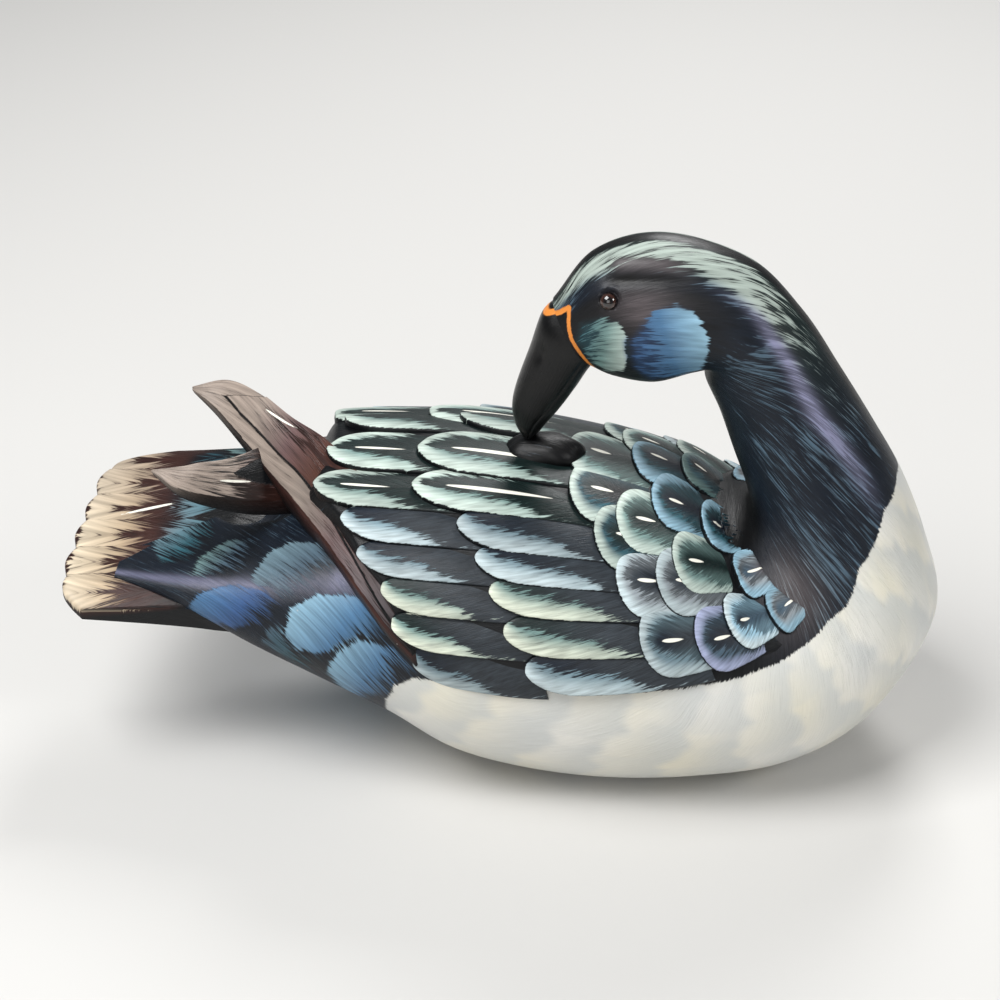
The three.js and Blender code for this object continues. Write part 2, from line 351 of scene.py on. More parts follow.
@dataclass
class Coat:
    """The paint on a grid of points.

    Attributes:
        under: Ground colour.
        over: Colour of the brush strokes.
        pale: Colour of the white paint.
        cover: How much of the strokes lies here, from 0 to 1.
        edge: Signed distance into the white paint in millimetres.
        ink: Distance from a drawn line in millimetres, signed or not.
        quill: Signed distance into a white shaft in millimetres.
        strokes: Place across the strokes, place along them, both in millimetres, and a seed.
    """

    under: Floats
    over: Floats
    pale: Floats
    cover: Floats
    edge: Floats
    ink: Floats
    quill: Floats
    strokes: Floats

    @classmethod
    def blank(cls, shape: tuple[int, ...], ground: Pot = Pot.NIGHT) -> "Coat":
        """Makes a coat of plain ground colour.

        Args:
            shape: The grid's shape.
            ground: The pot it is painted from.

        Returns:
            The coat, with no strokes, white, lines or shafts on it.
        """
        colour = np.broadcast_to(ground.light, shape + (3,))
        return cls(
            under=colour.copy(),
            over=colour.copy(),
            pale=np.broadcast_to(Pot.WHITE.light, shape + (3,)).copy(),
            cover=np.zeros(shape),
            edge=np.full(shape, -50.0),
            ink=np.full(shape, 50.0),
            quill=np.full(shape, -5.0),
            strokes=np.zeros(shape + (3,)),
        )

    def columns(self) -> dict[str, Floats]:
        """Gives the coat as the mesh stores it: three colours and three vectors a point."""
        return {
            "under": self.under,
            "over": self.over,
            "pale": self.pale,
            "strokes": self.strokes,
            "marks": np.stack([self.cover, self.ink, self.quill], axis=-1),
            "border": np.stack([self.edge, self.edge * 0, self.edge * 0], axis=-1),
        }


COLOURS = ("under", "over", "pale")


@dataclass
class PieceBuilder:
    """Gathers grids into one mesh.

    Attributes:
        name: The piece's name.
        points: Welded points of each grid.
        faces: Triangles of each grid, counted through the whole piece.
        columns: The coats' values, grid by grid.
    """

    name: str
    points: list[Floats] = field(default_factory=list)
    faces: list[Ints] = field(default_factory=list)
    columns: list[dict[str, Floats]] = field(default_factory=list)

    def add(self, grid: Floats, coat: Coat, ring: bool = True, flipped: bool = False) -> None:
        """Adds a grid, its equal points made one so that poles and seams close.

        Args:
            grid: Points by row and column, outward when the column and then the row go round
                counterclockwise.
            coat: The paint on it.
            ring: Whether the last column joins the first.
            flipped: Whether its faces turn the other way.
        """
        rows, count = grid.shape[:2]
        index = np.arange(rows * count).reshape(rows, count)
        if ring:
            index = np.concatenate([index, index[:, :1]], axis=1)
        corners = (index[:-1, :-1], index[:-1, 1:], index[1:, 1:], index[1:, :-1])
        a, b, c, d = (corner.ravel() for corner in corners)
        triangles = np.concatenate([np.stack([a, b, c], axis=1), np.stack([a, c, d], axis=1)])
        flat = grid.reshape(-1, 3)
        _, first, same = np.unique(np.round(flat, 4), axis=0, return_index=True, return_inverse=True)
        triangles = same.reshape(-1)[triangles]
        a, b, c = triangles.T
        triangles = triangles[(a != b) & (b != c) & (c != a)]
        if flipped:
            triangles = triangles[:, ::-1]
        offset = sum(len(part) for part in self.points)
        self.points.append(flat[first])
        self.faces.append(triangles + offset)
        self.columns.append({key: value.reshape(-1, 3)[first] for key, value in coat.columns().items()})

    def build(self, material: bpy.types.Material, slot: str, sharp: float = 48.0) -> bpy.types.Object:
        """Writes the mesh and puts it on the goose.

        Args:
            material: The finish.
            slot: A material slot's name; it is not used.
            sharp: Degrees between faces from which an edge is kept sharp.

        Returns:
            The piece.
        """
        points = np.concatenate(self.points) * MM
        faces = np.concatenate(self.faces)
        mesh = bpy.data.meshes.new(self.name)
        mesh.vertices.add(len(points))
        mesh.vertices.foreach_set("co", points.astype(np.float32).ravel())
        mesh.loops.add(faces.size)
        mesh.loops.foreach_set("vertex_index", faces.astype(np.int32).ravel())
        mesh.polygons.add(len(faces))
        mesh.polygons.foreach_set("loop_start", np.arange(0, faces.size, 3, dtype=np.int32))
        mesh.polygons.foreach_set("use_smooth", np.ones(len(faces), dtype=bool))
        mesh.update(calc_edges=True)
        mesh.set_sharp_from_angle(angle=math.radians(sharp))
        for key in self.columns[0]:
            values = np.concatenate([part[key] for part in self.columns]).astype(np.float32)
            if key in COLOURS:
                layer = mesh.attributes.new(key, "FLOAT_COLOR", "POINT")
                layer.data.foreach_set("color", np.hstack([values, np.ones((len(values), 1), np.float32)]).ravel())
            else:
                layer = mesh.attributes.new(key, "FLOAT_VECTOR", "POINT")
                layer.data.foreach_set("vector", values.ravel())
        piece = bpy.data.objects.new(self.name, mesh)
        bpy.context.scene.collection.objects.link(piece)
        mesh.materials.append(material)
        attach(piece, BODY_NAME)
        LOG.info("%s: %d triangles", self.name, len(faces))
        return piece


def grid_of(rows: Floats, columns: Floats) -> tuple[Floats, Floats]:
    """Spreads two lists over a grid, the first down its rows and the second along its columns."""
    first, second = np.meshgrid(rows, columns, indexing="ij")
    return first, second


def mirrored(grid: Floats) -> Floats:
    """Carries points to the bird's other side."""
    return grid * np.array([1.0, -1.0, 1.0])


# Shader wiring


class Wiring:
    """Lays nodes in one tree and joins them."""

    def __init__(self, tree: bpy.types.NodeTree) -> None:
        """Takes the tree to work in.

        Args:
            tree: A material's or a group's node tree.
        """
        self.tree = tree

    def node(self, kind: str, **settings: object) -> bpy.types.Node:
        """Adds a node.

        Args:
            kind: Its type name.
            **settings: Its properties.

        Returns:
            The node.
        """
        made = self.tree.nodes.new(kind)
        for key, value in settings.items():
            setattr(made, key, value)
        return made

    def feed(self, socket: Socket, value: "Socket | float | tuple[float, ...]") -> None:
        """Joins a socket to another one, or sets its plain value."""
        if isinstance(value, bpy.types.NodeSocket):
            self.tree.links.new(value, socket)
        else:
            socket.default_value = value

    def math(self, operation: str, *values: "Socket | float", clamp: bool = False) -> Socket:
        """Adds a sum.

        Args:
            operation: The Math node's operation.
            *values: One to three operands.
            clamp: Whether the result is held between 0 and 1.

        Returns:
            The result.
        """
        made = self.node("ShaderNodeMath", operation=operation, use_clamp=clamp)
        for socket, value in zip(made.inputs, values):
            self.feed(socket, value)
        return made.outputs[0]

    def split(self, vector: Socket) -> tuple[Socket, Socket, Socket]:
        """Takes a vector apart."""
        made = self.node("ShaderNodeSeparateXYZ")
        self.feed(made.inputs[0], vector)
        return made.outputs[0], made.outputs[1], made.outputs[2]

    def join(self, x: "Socket | float", y: "Socket | float", z: "Socket | float") -> Socket:
        """Puts a vector together."""
        made = self.node("ShaderNodeCombineXYZ")
        for socket, value in zip(made.inputs, (x, y, z)):
            self.feed(socket, value)
        return made.outputs[0]

    def noise(self, vector: Socket, scale: float, detail: float = 2.0, rough: float = 0.5) -> Socket:
        """Adds cloudy noise.

        Args:
            vector: Where it is read.
            scale: Its scale.
            detail: How many finer layers it has.
            rough: How strong the finer layers are.

        Returns:
            The value, about 0.5.
        """
        made = self.node("ShaderNodeTexNoise", noise_dimensions="3D")
        self.feed(made.inputs["Vector"], vector)
        for key, value in (("Scale", scale), ("Detail", detail), ("Roughness", rough)):
            made.inputs[key].default_value = value
        return made.outputs[0]

    def span(
        self,
        value: Socket,
        low: "Socket | float",
        high: "Socket | float",
        start: float = 0.0,
        end: float = 1.0,
        smooth: bool = True,
    ) -> Socket:
        """Maps a value from one range to another and holds it there.

        Args:
            value: What is mapped.
            low: Where the first range starts.
            high: Where it ends.
            start: Result at low.
            end: Result at high.
            smooth: Whether it eases in and out.

        Returns:
            The mapped value.
        """
        made = self.node("ShaderNodeMapRange", interpolation_type="SMOOTHSTEP" if smooth else "LINEAR", clamp=True)
        for socket, given in zip(made.inputs, (value, low, high, start, end)):
            self.feed(socket, given)
        return made.outputs[0]

    def mix(self, share: "Socket | float", first: "Socket | tuple", second: "Socket | tuple", how: str = "MIX") -> Socket:
        """Mixes two colours.

        Args:
            share: Share of the second.
            first: The first colour.
            second: The second colour.
            how: The blend type.

        Returns:
            The mixed colour.
        """
        made = self.node("ShaderNodeMix", data_type="RGBA", blend_type=how, clamp_factor=True)
        self.feed(made.inputs[0], share)
        self.feed(made.inputs[6], first)
        self.feed(made.inputs[7], second)
        return made.outputs[2]

    def attribute(self, name: str) -> bpy.types.Node:
        """Reads a value that the mesh keeps at its points."""
        return self.node("ShaderNodeAttribute", attribute_type="GEOMETRY", attribute_name=name)


def shader_group(
    name: str, inputs: tuple[tuple[str, str], ...], outputs: tuple[tuple[str, str], ...]
) -> tuple[bpy.types.NodeTree, Wiring, dict[str, Socket], bpy.types.Node]:
    """Starts a node group.

    Args:
        name: Its name.
        inputs: Name and kind of each input, the kind being Float, Vector or Color.
        outputs: Name and kind of each output.

    Returns:
        The group, its wiring, its input sockets by name and its output node.
    """
    tree = bpy.data.node_groups.new(name, "ShaderNodeTree")
    for side, sockets in (("INPUT", inputs), ("OUTPUT", outputs)):
        for label, kind in sockets:
            tree.interface.new_socket(name=label, in_out=side, socket_type=f"NodeSocket{kind}")
    wiring = Wiring(tree)
    entry = wiring.node("NodeGroupInput")
    leave = wiring.node("NodeGroupOutput")
    return tree, wiring, {label: entry.outputs[label] for label, _ in inputs}, leave


def brush_strokes() -> bpy.types.NodeTree:
    """Makes the group that breaks paint into brush strokes.

    Long thin noise runs along the strokes. It is added to the cover and cut at a half, so that the
    paint ends in teeth where its cover runs out.

    Returns:
        The group.
    """
    tree, wiring, given, leave = shader_group(
        "BrushStrokes",
        (
            ("Strokes", "Vector"),
            ("Cover", "Float"),
            ("Fineness", "Float"),
            ("Length", "Float"),
            ("Bite", "Float"),
        ),
        (("Mask", "Float"), ("Hair", "Float"), ("Clump", "Float")),
    )
    across, along, seed = wiring.split(given["Strokes"])
    run = wiring.math("DIVIDE", along, given["Length"])
    fine = wiring.math("MULTIPLY", across, given["Fineness"])
    coarse = wiring.math("MULTIPLY", fine, 0.33)
    hair = wiring.noise(wiring.join(fine, run, wiring.math("MULTIPLY", seed, 7.3)), 1.0, 2.0, 0.6)
    half = wiring.math("MULTIPLY", run, 0.6)
    clump = wiring.noise(wiring.join(coarse, half, wiring.math("MULTIPLY_ADD", seed, 3.1, 40.0)), 1.0, 1.0)
    hair = wiring.span(hair, 0.3, 0.7, smooth=False)
    clump = wiring.span(clump, 0.3, 0.7, smooth=False)
    both = wiring.math("MULTIPLY_ADD", clump, 0.4, wiring.math("MULTIPLY", hair, 0.6))
    bitten = wiring.math("MULTIPLY_ADD", wiring.math("SUBTRACT", both, 0.5), given["Bite"], given["Cover"])
    wiring.feed(leave.inputs["Mask"], wiring.span(bitten, 0.4, 0.6))
    wiring.feed(leave.inputs["Hair"], hair)
    wiring.feed(leave.inputs["Clump"], clump)
    return tree


def paint_layers() -> bpy.types.NodeTree:
    """Makes the group that lays ground, strokes, white paint, drawn lines and shafts over each other.

    Returns:
        The group.
    """
    tree, wiring, given, leave = shader_group(
        "PaintLayers",
        (
            ("Under", "Color"),
            ("Over", "Color"),
            ("Pale", "Color"),
            ("Marks", "Vector"),
            ("Border", "Vector"),
            ("Mask", "Float"),
            ("Hair", "Float"),
            ("Clump", "Float"),
            ("Line Colour", "Color"),
            ("Line Width", "Float"),
            ("Quill Colour", "Color"),
            ("Depth", "Float"),
        ),
        (("Color", "Color"), ("Relief", "Float")),
    )
    _, ink, quill = wiring.split(given["Marks"])
    edge, _, _ = wiring.split(given["Border"])
    tone = wiring.math("MULTIPLY_ADD", wiring.math("SUBTRACT", given["Hair"], 0.5), given["Depth"], 1.0)
    ground = wiring.mix(1.0, given["Under"], wiring.join(tone, tone, tone), "MULTIPLY")
    body = wiring.mix(given["Mask"], ground, given["Over"])
    streak = wiring.math("MULTIPLY_ADD", wiring.math("SUBTRACT", given["Clump"], 0.5), given["Depth"], 1.0)
    body = wiring.mix(1.0, body, wiring.join(streak, streak, streak), "MULTIPLY")
    soft = wiring.math("MULTIPLY_ADD", wiring.math("SUBTRACT", given["Hair"], 0.5), 0.07, 1.0)
    white = wiring.mix(1.0, given["Pale"], wiring.join(soft, soft, soft), "MULTIPLY")
    bitten = wiring.math("MULTIPLY_ADD", wiring.math("SUBTRACT", given["Hair"], 0.5), 2.2, edge)
    white_mask = wiring.span(bitten, -0.35, 0.35)
    body = wiring.mix(white_mask, body, white)
    wobble = wiring.math("MULTIPLY_ADD", wiring.math("SUBTRACT", given["Clump"], 0.5), 0.25, wiring.math("ABSOLUTE", ink))
    line_mask = wiring.span(wiring.math("SUBTRACT", wobble, given["Line Width"]), -0.22, 0.22, 1.0, 0.0)
    body = wiring.mix(line_mask, body, given["Line Colour"])
    shaft_mask = wiring.span(quill, -0.1, 0.25)
    body = wiring.mix(shaft_mask, body, given["Quill Colour"])
    wiring.feed(leave.inputs["Color"], body)
    heap = wiring.math("MULTIPLY_ADD", given["Mask"], 0.5, wiring.math("MULTIPLY", given["Hair"], 0.7))
    heap = wiring.math("MULTIPLY_ADD", shaft_mask, 1.2, heap)
    heap = wiring.math("MULTIPLY_ADD", line_mask, -0.8, heap)
    wiring.feed(leave.inputs["Relief"], heap)
    return tree


def handled_varnish() -> bpy.types.NodeTree:
    """Makes the group for varnish that years of handling have left uneven, with a few dust specks.

    Returns:
        The group.
    """
    tree, wiring, given, leave = shader_group(
        "HandledVarnish",
        (("Color", "Color"), ("Hair", "Float"), ("Satin", "Float"), ("Dust", "Float")),
        (("Color", "Color"), ("Roughness", "Float")),
    )
    place = wiring.node("ShaderNodeTexCoord").outputs["Object"]
    cloud = wiring.noise(place, 28.0, 3.0, 0.6)
    rough = wiring.math("MULTIPLY_ADD", wiring.math("SUBTRACT", cloud, 0.5), 0.22, given["Satin"])
    rough = wiring.math("MULTIPLY_ADD", wiring.math("SUBTRACT", given["Hair"], 0.5), 0.1, rough, clamp=True)
    specks = wiring.node("ShaderNodeTexVoronoi", feature="F1")
    wiring.feed(specks.inputs["Vector"], place)
    specks.inputs["Scale"].default_value = 130.0
    near = wiring.span(specks.outputs["Distance"], 0.03, 0.07, 1.0, 0.0)
    few = wiring.math("GREATER_THAN", wiring.split(specks.outputs["Color"])[0], 0.93)
    speck = wiring.math("MULTIPLY", wiring.math("MULTIPLY", near, few), given["Dust"])
    wiring.feed(leave.inputs["Color"], wiring.mix(speck, given["Color"], (0.55, 0.53, 0.5, 1.0)))
    wiring.feed(leave.inputs["Roughness"], wiring.math("MULTIPLY_ADD", speck, 0.3, rough, clamp=True))
    return tree


@dataclass(frozen=True)
class Brushwork:
    """A hand-painted, varnished finish.

    Attributes:
        name: The material's name.
        fineness: Strokes a millimetre.
        length: Length of a stroke in millimetres.
        bite: How far the strokes break the paint's edge.
        depth: How much the tone changes from stroke to stroke.
        line: Pot of the drawn lines.
        line_width: Half their width in millimetres.
        quill: Pot of the shafts.
        satin: Roughness of the varnish.
        coat: Weight of the gloss over it.
        relief: Height of the strokes in millimetres.
        dust: How much the dust specks show.
    """

    name: str
    fineness: float = 1.6
    length: float = 7.0
    bite: float = 0.9
    depth: float = 0.5
    line: Pot = Pot.SOOT
    line_width: float = 0.35
    quill: Pot = Pot.QUILL
    satin: float = 0.42
    coat: float = 0.04
    relief: float = 0.14
    dust: float = 0.5

    def material(self) -> bpy.types.Material:
        """Builds the material from the shared groups.

        Returns:
            The material.
        """
        made = bpy.data.materials.new(self.name)
        made.use_nodes = True
        made.node_tree.nodes.clear()
        wiring = Wiring(made.node_tree)
        output = wiring.node("ShaderNodeOutputMaterial")
        shader = wiring.node("ShaderNodeBsdfPrincipled")
        wiring.feed(output.inputs["Surface"], shader.outputs[0])
        marks = wiring.attribute("marks").outputs["Vector"]
        brush = wiring.node("ShaderNodeGroup", node_tree=bpy.data.node_groups["BrushStrokes"])
        wiring.feed(brush.inputs["Strokes"], wiring.attribute("strokes").outputs["Vector"])
        wiring.feed(brush.inputs["Cover"], wiring.split(marks)[0])
        for key, value in (("Fineness", self.fineness), ("Length", self.length), ("Bite", self.bite)):
            brush.inputs[key].default_value = value
        layers = wiring.node("ShaderNodeGroup", node_tree=bpy.data.node_groups["PaintLayers"])
        for key in ("Under", "Over", "Pale"):
            wiring.feed(layers.inputs[key], wiring.attribute(key.lower()).outputs["Color"])
        wiring.feed(layers.inputs["Marks"], marks)
        wiring.feed(layers.inputs["Border"], wiring.attribute("border").outputs["Vector"])
        for key in ("Mask", "Hair", "Clump"):
            wiring.feed(layers.inputs[key], brush.outputs[key])
        layers.inputs["Line Colour"].default_value = (*self.line.light, 1.0)
        layers.inputs["Line Width"].default_value = self.line_width
        layers.inputs["Quill Colour"].default_value = (*self.quill.light, 1.0)
        layers.inputs["Depth"].default_value = self.depth
        varnish = wiring.node("ShaderNodeGroup", node_tree=bpy.data.node_groups["HandledVarnish"])
        wiring.feed(varnish.inputs["Color"], layers.outputs["Color"])
        wiring.feed(varnish.inputs["Hair"], brush.outputs["Hair"])
        varnish.inputs["Satin"].default_value = self.satin
        varnish.inputs["Dust"].default_value = self.dust
        bump = wiring.node("ShaderNodeBump")
        bump.inputs["Strength"].default_value = 1.0
        bump.inputs["Distance"].default_value = self.relief * MM
        wiring.feed(bump.inputs["Height"], layers.outputs["Relief"])
        wiring.feed(shader.inputs["Base Color"], varnish.outputs["Color"])
        wiring.feed(shader.inputs["Roughness"], varnish.outputs["Roughness"])
        wiring.feed(shader.inputs["Normal"], bump.outputs["Normal"])
        shader.inputs["Coat Weight"].default_value = self.coat
        shader.inputs["Coat Roughness"].default_value = 0.28
        shader.inputs["Specular IOR Level"].default_value = 0.28
        return made


# The carving's body, neck and head


class Chart(Enum):
    """Flat charts on which the painted patches are outlined."""

    SIDE = "side"
    RUMP = "rump"

    def place(self, points: Floats) -> Floats:
        """Puts points on the chart.

        The side chart is the view from the side. The rump's runs along the bird and down from the
        middle of its back, so it takes the distance from the middle less the height.

        Args:
            points: The points in millimetres.

        Returns:
            Two coordinates for each.
        """
        if self is Chart.SIDE:
            return points[..., [0, 2]]
        return np.stack([points[..., 0], np.abs(points[..., 1]) - points[..., 2]], axis=-1)


@dataclass(frozen=True)
class Patch:
    """A patch of strokes shaped like the end of a feather.

    Attributes:
        chart: The chart it is outlined on.
        outline: Its corners there, in millimetres.
        start: Where its colour is fullest.
        end: Where it has faded.
        pots: Its colours from there to here.
        strength: Cover at its start.
    """

    chart: Chart
    outline: tuple[tuple[float, float], ...]
    start: tuple[float, float]
    end: tuple[float, float]
    pots: tuple[Pot, Pot, Pot]
    strength: float = 1.0

    def lay(self, coat: Coat, points: Floats, where: Floats) -> None:
        """Lays the patch over a coat.

        Its cover is full inside the outline and fades evenly from its start to its end, and its colour
        goes through its pots on the way.

        Args:
            coat: The coat, changed in place.
            points: The points.
            where: Share of the patch that each point may take.
        """
        place = self.chart.place(points)
        inside = outline_distance(place, np.array(self.outline))
        start, end = np.array(self.start), np.array(self.end)
        run = (place - start) @ (end - start) / ((end - start) @ (end - start))
        cover = np.clip(0.5 + inside / 5.0, 0, 1) * (1 - 0.72 * ease(run, 0.15, 1.05)) * self.strength * where
        stops = np.array([pot.light for pot in self.pots])
        colour = np.stack([np.interp(run, (0.0, 0.5, 1.0), stops[:, i]) for i in range(3)], axis=-1)
        share = ease(inside, -3.0, 0.5) * where
        coat.over = coat.over + (colour - coat.over) * share[..., None]
        coat.under = coat.under + (self.pots[2].light * 0.45 - coat.under) * (ease(inside, -1, 5) * where)[..., None]
        coat.cover = np.maximum(coat.cover * (1 - share * 0.8), cover)


# On the rump each patch fades into its last, dark pot: partly the feather's own paint, partly painted shade where the
# next feather would cover it.
RUMP_PATCHES = (
    Patch(
        Chart.RUMP,
        ((-215, -76), (-215, -95), (-199, -96), (-186, -93), (-180, -70), (-190, -56), (-206, -55)),
        (-213, -84),
        (-178, -62),
        (Pot.STEEL, Pot.TEAL, Pot.NAVY),
        0.6,
    ),
    Patch(
        Chart.RUMP,
        ((-190, -47), (-189, -62), (-177, -76), (-160, -77), (-156, -62), (-170, -44)),
        (-190, -66),
        (-158, -52),
        (Pot.MOSS, Pot.SLATE, Pot.NAVY),
        0.6,
    ),
    Patch(
        Chart.RUMP,
        ((-162, -47), (-156, -64), (-146, -72), (-132, -70), (-120, -57), (-124, -36), (-142, -29), (-157, -33)),
        (-158, -66),
        (-124, -36),
        (Pot.STEEL, Pot.SLATE, Pot.IRON),
        0.85,
    ),
    Patch(
        Chart.RUMP,
        ((-190, -28), (-184, -36), (-170, -42), (-153, -38), (-145, -28), (-152, -16), (-168, -15), (-184, -21)),
        (-186, -38),
        (-146, -16),
        (Pot.BLUE, Pot.VIVID, Pot.NAVY),
        0.95,
    ),
    Patch(
        Chart.RUMP,
        ((-157, -9), (-152, -18), (-140, -16), (-128, -8), (-116, 8), (-126, 12), (-144, 2)),
        (-155, -14),
        (-120, 8),
        (Pot.SLATE, Pot.TEAL, Pot.NAVY),
        0.6,
    ),
    Patch(
        Chart.RUMP,
        ((-145, -12), (-142, -27), (-130, -35), (-110, -34), (-92, -20), (-86, -3), (-102, 0), (-124, -1), (-140, -4)),
        (-142, -30),
        (-96, 2),
        (Pot.SKY, Pot.BLUE, Pot.NAVY),
        1.0,
    ),
    Patch(
        Chart.RUMP,
        ((-127, 7), (-121, -3), (-110, -9), (-94, -4), (-80, 10), (-82, 20), (-99, 22), (-118, 18)),
        (-124, -6),
        (-84, 20),
        (Pot.SKY, Pot.BLUE, Pot.NAVY),
        0.85,
    ),
)
CHEEK_PATCHES = (
    Patch(
        Chart.SIDE,
        ((-20, 211), (-10, 216), (-3, 214.5), (2, 207), (3, 197), (-1, 188), (-8, 186), (-16, 191), (-22, 201)),
        (3, 200),
        (-20, 203),
        (Pot.MINT, Pot.MOSS, Pot.TEAL),
    ),
    Patch(
        Chart.SIDE,
        ((1, 205), (6, 214), (12, 221), (21, 224), (28, 222), (34, 213), (36, 204), (33, 192), (24, 186), (11, 182), (3, 191)),
        (36, 208),
        (2, 198),
        (Pot.SKY, Pot.BLUE, Pot.VIVID),
    ),
)


@dataclass
class CarvedBody:
    """The carving without its wings and tail: rump, flanks, breast, neck and head.

    Attributes:
        rows: Sections along the skin.
        columns: Points round each section.
        hollow: Middle of the hollow under the crossed wings.
        hollow_radii: Its radii.
        brow: The groove over the eye, from the front to the back.
        eye: Middle of the right eye.
        white_edge: Station and angle in degrees of the white paint's edge.
        bill_line: Side view, x and z, of the line round the bill.
        bill_side: Side view of the area in front of that line.
        flow: Station and turn of the strokes, in radians a station.
        girth: Station and radius in millimetres that the strokes are spaced for.
        rump_patches: The painted feathers behind the wings.
        cheek_patches: The painted feathers on the cheek.
    """

    rows: int = 470
    columns: int = 200
    hollow: tuple[float, float, float] = (-172, 4, 122)
    hollow_radii: tuple[float, float, float] = (36, 26, 28)
    brow: tuple[tuple[float, float, float], ...] = (
        (-8, -15.5, 230),
        (6, -18.5, 232.5),
        (17, -19.5, 233),
        (27, -19.5, 232),
        (40, -19, 229.5),
    )
    eye: tuple[float, float, float] = (-6.5, -18.5, 223)
    white_edge: tuple[tuple[float, float], ...] = (
        (4.03, 112),
        (4.2, 98),
        (4.47, 91),
        (4.9, 88),
        (6.43, 84.5),
        (7.63, 80.5),
        (8.72, 76.5),
        (9.57, 74.5),
        (10.55, 76),
        (11.53, 81),
        (12.77, 100),
        (13.83, 133),
        (14.22, 165),
        (14.24, 200),
        (4.3, 200),
        (4.02, 160),
        (3.98, 135),
    )
    bill_line: tuple[tuple[float, float], ...] = (
        (-40, 206.8),
        (-33, 209.6),
        (-29, 211.4),
        (-24.2, 215.6),
        (-24.4, 210),
        (-24, 206),
        (-23, 202),
        (-20.8, 198),
        (-16, 190),
        (-13, 185),
    )
    bill_side: tuple[tuple[float, float], ...] = ((-10, 180), (-10, 130), (-70, 130), (-70, 196))
    flow: tuple[tuple[float, float], ...] = (
        (0, -0.35),
        (4.2, -0.42),
        (5.5, 0.1),
        (8, 0.25),
        (13, 0.42),
        (17, 0.36),
        (18.5, 0.5),
        (21, 0.5),
    )
    girth: tuple[tuple[float, float], ...] = ((0, 50), (4, 64), (8, 62), (13, 32), (17, 28), (21, 22))
    rump_patches: tuple[Patch, ...] = RUMP_PATCHES
    cheek_patches: tuple[Patch, ...] = CHEEK_PATCHES

    def surface(self) -> tuple[Floats, Floats, Floats]:
        """Works out the carved surface.

        It is the body skin, cut flat below, lowered onto the floor of the hollow behind the wings,
        with the groove and ridge over the eye and the rim round it raised or sunk along the normal.

        Returns:
            The points, and the station and the angle in radians of each.
        """
        station, angle = grid_of(
            np.linspace(0, BODY.last, self.rows),
            np.linspace(0, 2 * math.pi, self.columns, endpoint=False),
        )
        points = BODY.point(station, angle)
        normal = BODY.normal(station, angle)
        folded = points.copy()
        folded[..., 1] = -np.abs(points[..., 1])
        groove, ridge = self.brow_marks(folded)
        away = np.linalg.norm(folded - np.array(self.eye), axis=-1)
        height = 1.0 * ridge - 1.5 * groove
        height += 0.45 * np.exp(-(((away - 5.3) / 0.8) ** 2)) - 1.6 * ease(-away, -4.6, -3.4)
        points = points + normal * height[..., None]
        centre, radii = np.array(self.hollow), np.array(self.hollow_radii)
        reach = ((points[..., :2] - centre[:2]) / radii[:2]) ** 2
        floor = centre[2] - radii[2] * np.sqrt(np.maximum(1 - reach.sum(axis=-1), 0))
        inside = reach.sum(axis=-1) < 1
        points[..., 2] = np.where(inside & (station < 6), np.minimum(points[..., 2], floor), points[..., 2])
        points[..., 2] = np.maximum(points[..., 2], 0)
        return points, station, angle

    def brow_marks(self, folded: Floats) -> tuple[Floats, Floats]:
        """Gives how strongly the groove over the eye and the ridge over that are felt, from 0 to 1.

        Both fall off as a bell from a line, and run out towards the nape.

        Args:
            folded: Points with both sides folded onto the bird's right.

        Returns:
            The groove's and the ridge's share.
        """
        line = np.array(self.brow)
        along = ease(folded[..., 0], -12, -2) * (1 - ease(folded[..., 0], 14, 38))
        groove = np.exp(-((path_distance(folded, line) / 2.6) ** 2)) * along
        above = path_distance(folded, line + np.array([-1, 4, 5.5]))
        return groove, np.exp(-((above / 4.2) ** 2)) * along

    def stroke_place(self, station: Floats, turn: Floats) -> Floats:
        """Gives each point its place in the strokes, which lean with the flow and mirror left to right.

        The place across is the angle plus the summed flow, times the girth. On the cheeks the flow
        counts for less, so that the strokes run level there.

        Args:
            station: Station of each point.
            turn: Angle from the inner rail in radians, folded to one side.

        Returns:
            Place across the strokes, place along them and a seed.
        """
        fine = np.linspace(0, BODY.last, 400)
        turns = np.interp(fine, *np.array(self.flow).T)
        summed = np.concatenate([[0], np.cumsum(turns[1:] * np.diff(fine))])
        lean = np.interp(station, fine, summed) - np.interp(19.0, fine, summed)
        level = 0.15 + 0.85 * ease(turn, 1.2, 2.7)
        share = 1 - ease(station, 15.5, 17.5) * (1 - level)
        across = np.interp(station, *np.array(self.girth).T) * (turn + lean * share)
        return np.stack([across, station * 28, np.zeros_like(station)], axis=-1)

    def scallops(self, station: Floats, degrees: Floats) -> Floats:
        """Gives the soft light and shade of the white feathers.

        They lie in staggered rows, each a disc that covers the next one behind it: light along its
        rounded edge and greyer towards its root.

        Args:
            station: Station of each point.
            degrees: Angle from the inner rail, folded to one side.

        Returns:
            Values from 0 in shade to 1 in light.
        """
        along, across = station * 30 / 27.0 + degrees * 0.012, degrees * 1.35 / 29.0
        light = np.full(station.shape, 0.4)
        column = np.floor(along)
        for step in (-1, 0, 1, 2):
            index = column + step
            shift = 0.5 * np.mod(index, 2) + 0.13 * np.sin(index * 5.7)
            row = np.floor(across - shift)
            for side in (0, 1):
                nudge = 0.2 * np.sin(index * 12.9 + (row + side) * 7.7)
                back = index - along + nudge
                apart = across - shift - row - side
                wave = 0.04 * np.sin(np.arctan2(apart, back) * 9 + index * 3 + row)
                radius = np.sqrt((back * 0.82) ** 2 + (apart * 0.95) ** 2) + wave
                inside = ease(-radius, -0.84, -0.66)
                tone = 0.35 + 0.65 * ease(back, -0.1, 0.8) * (1 - 0.35 * np.sin(index * 3.3 + row * 5.1) ** 2)
                light = light + (tone - light) * inside
        return light

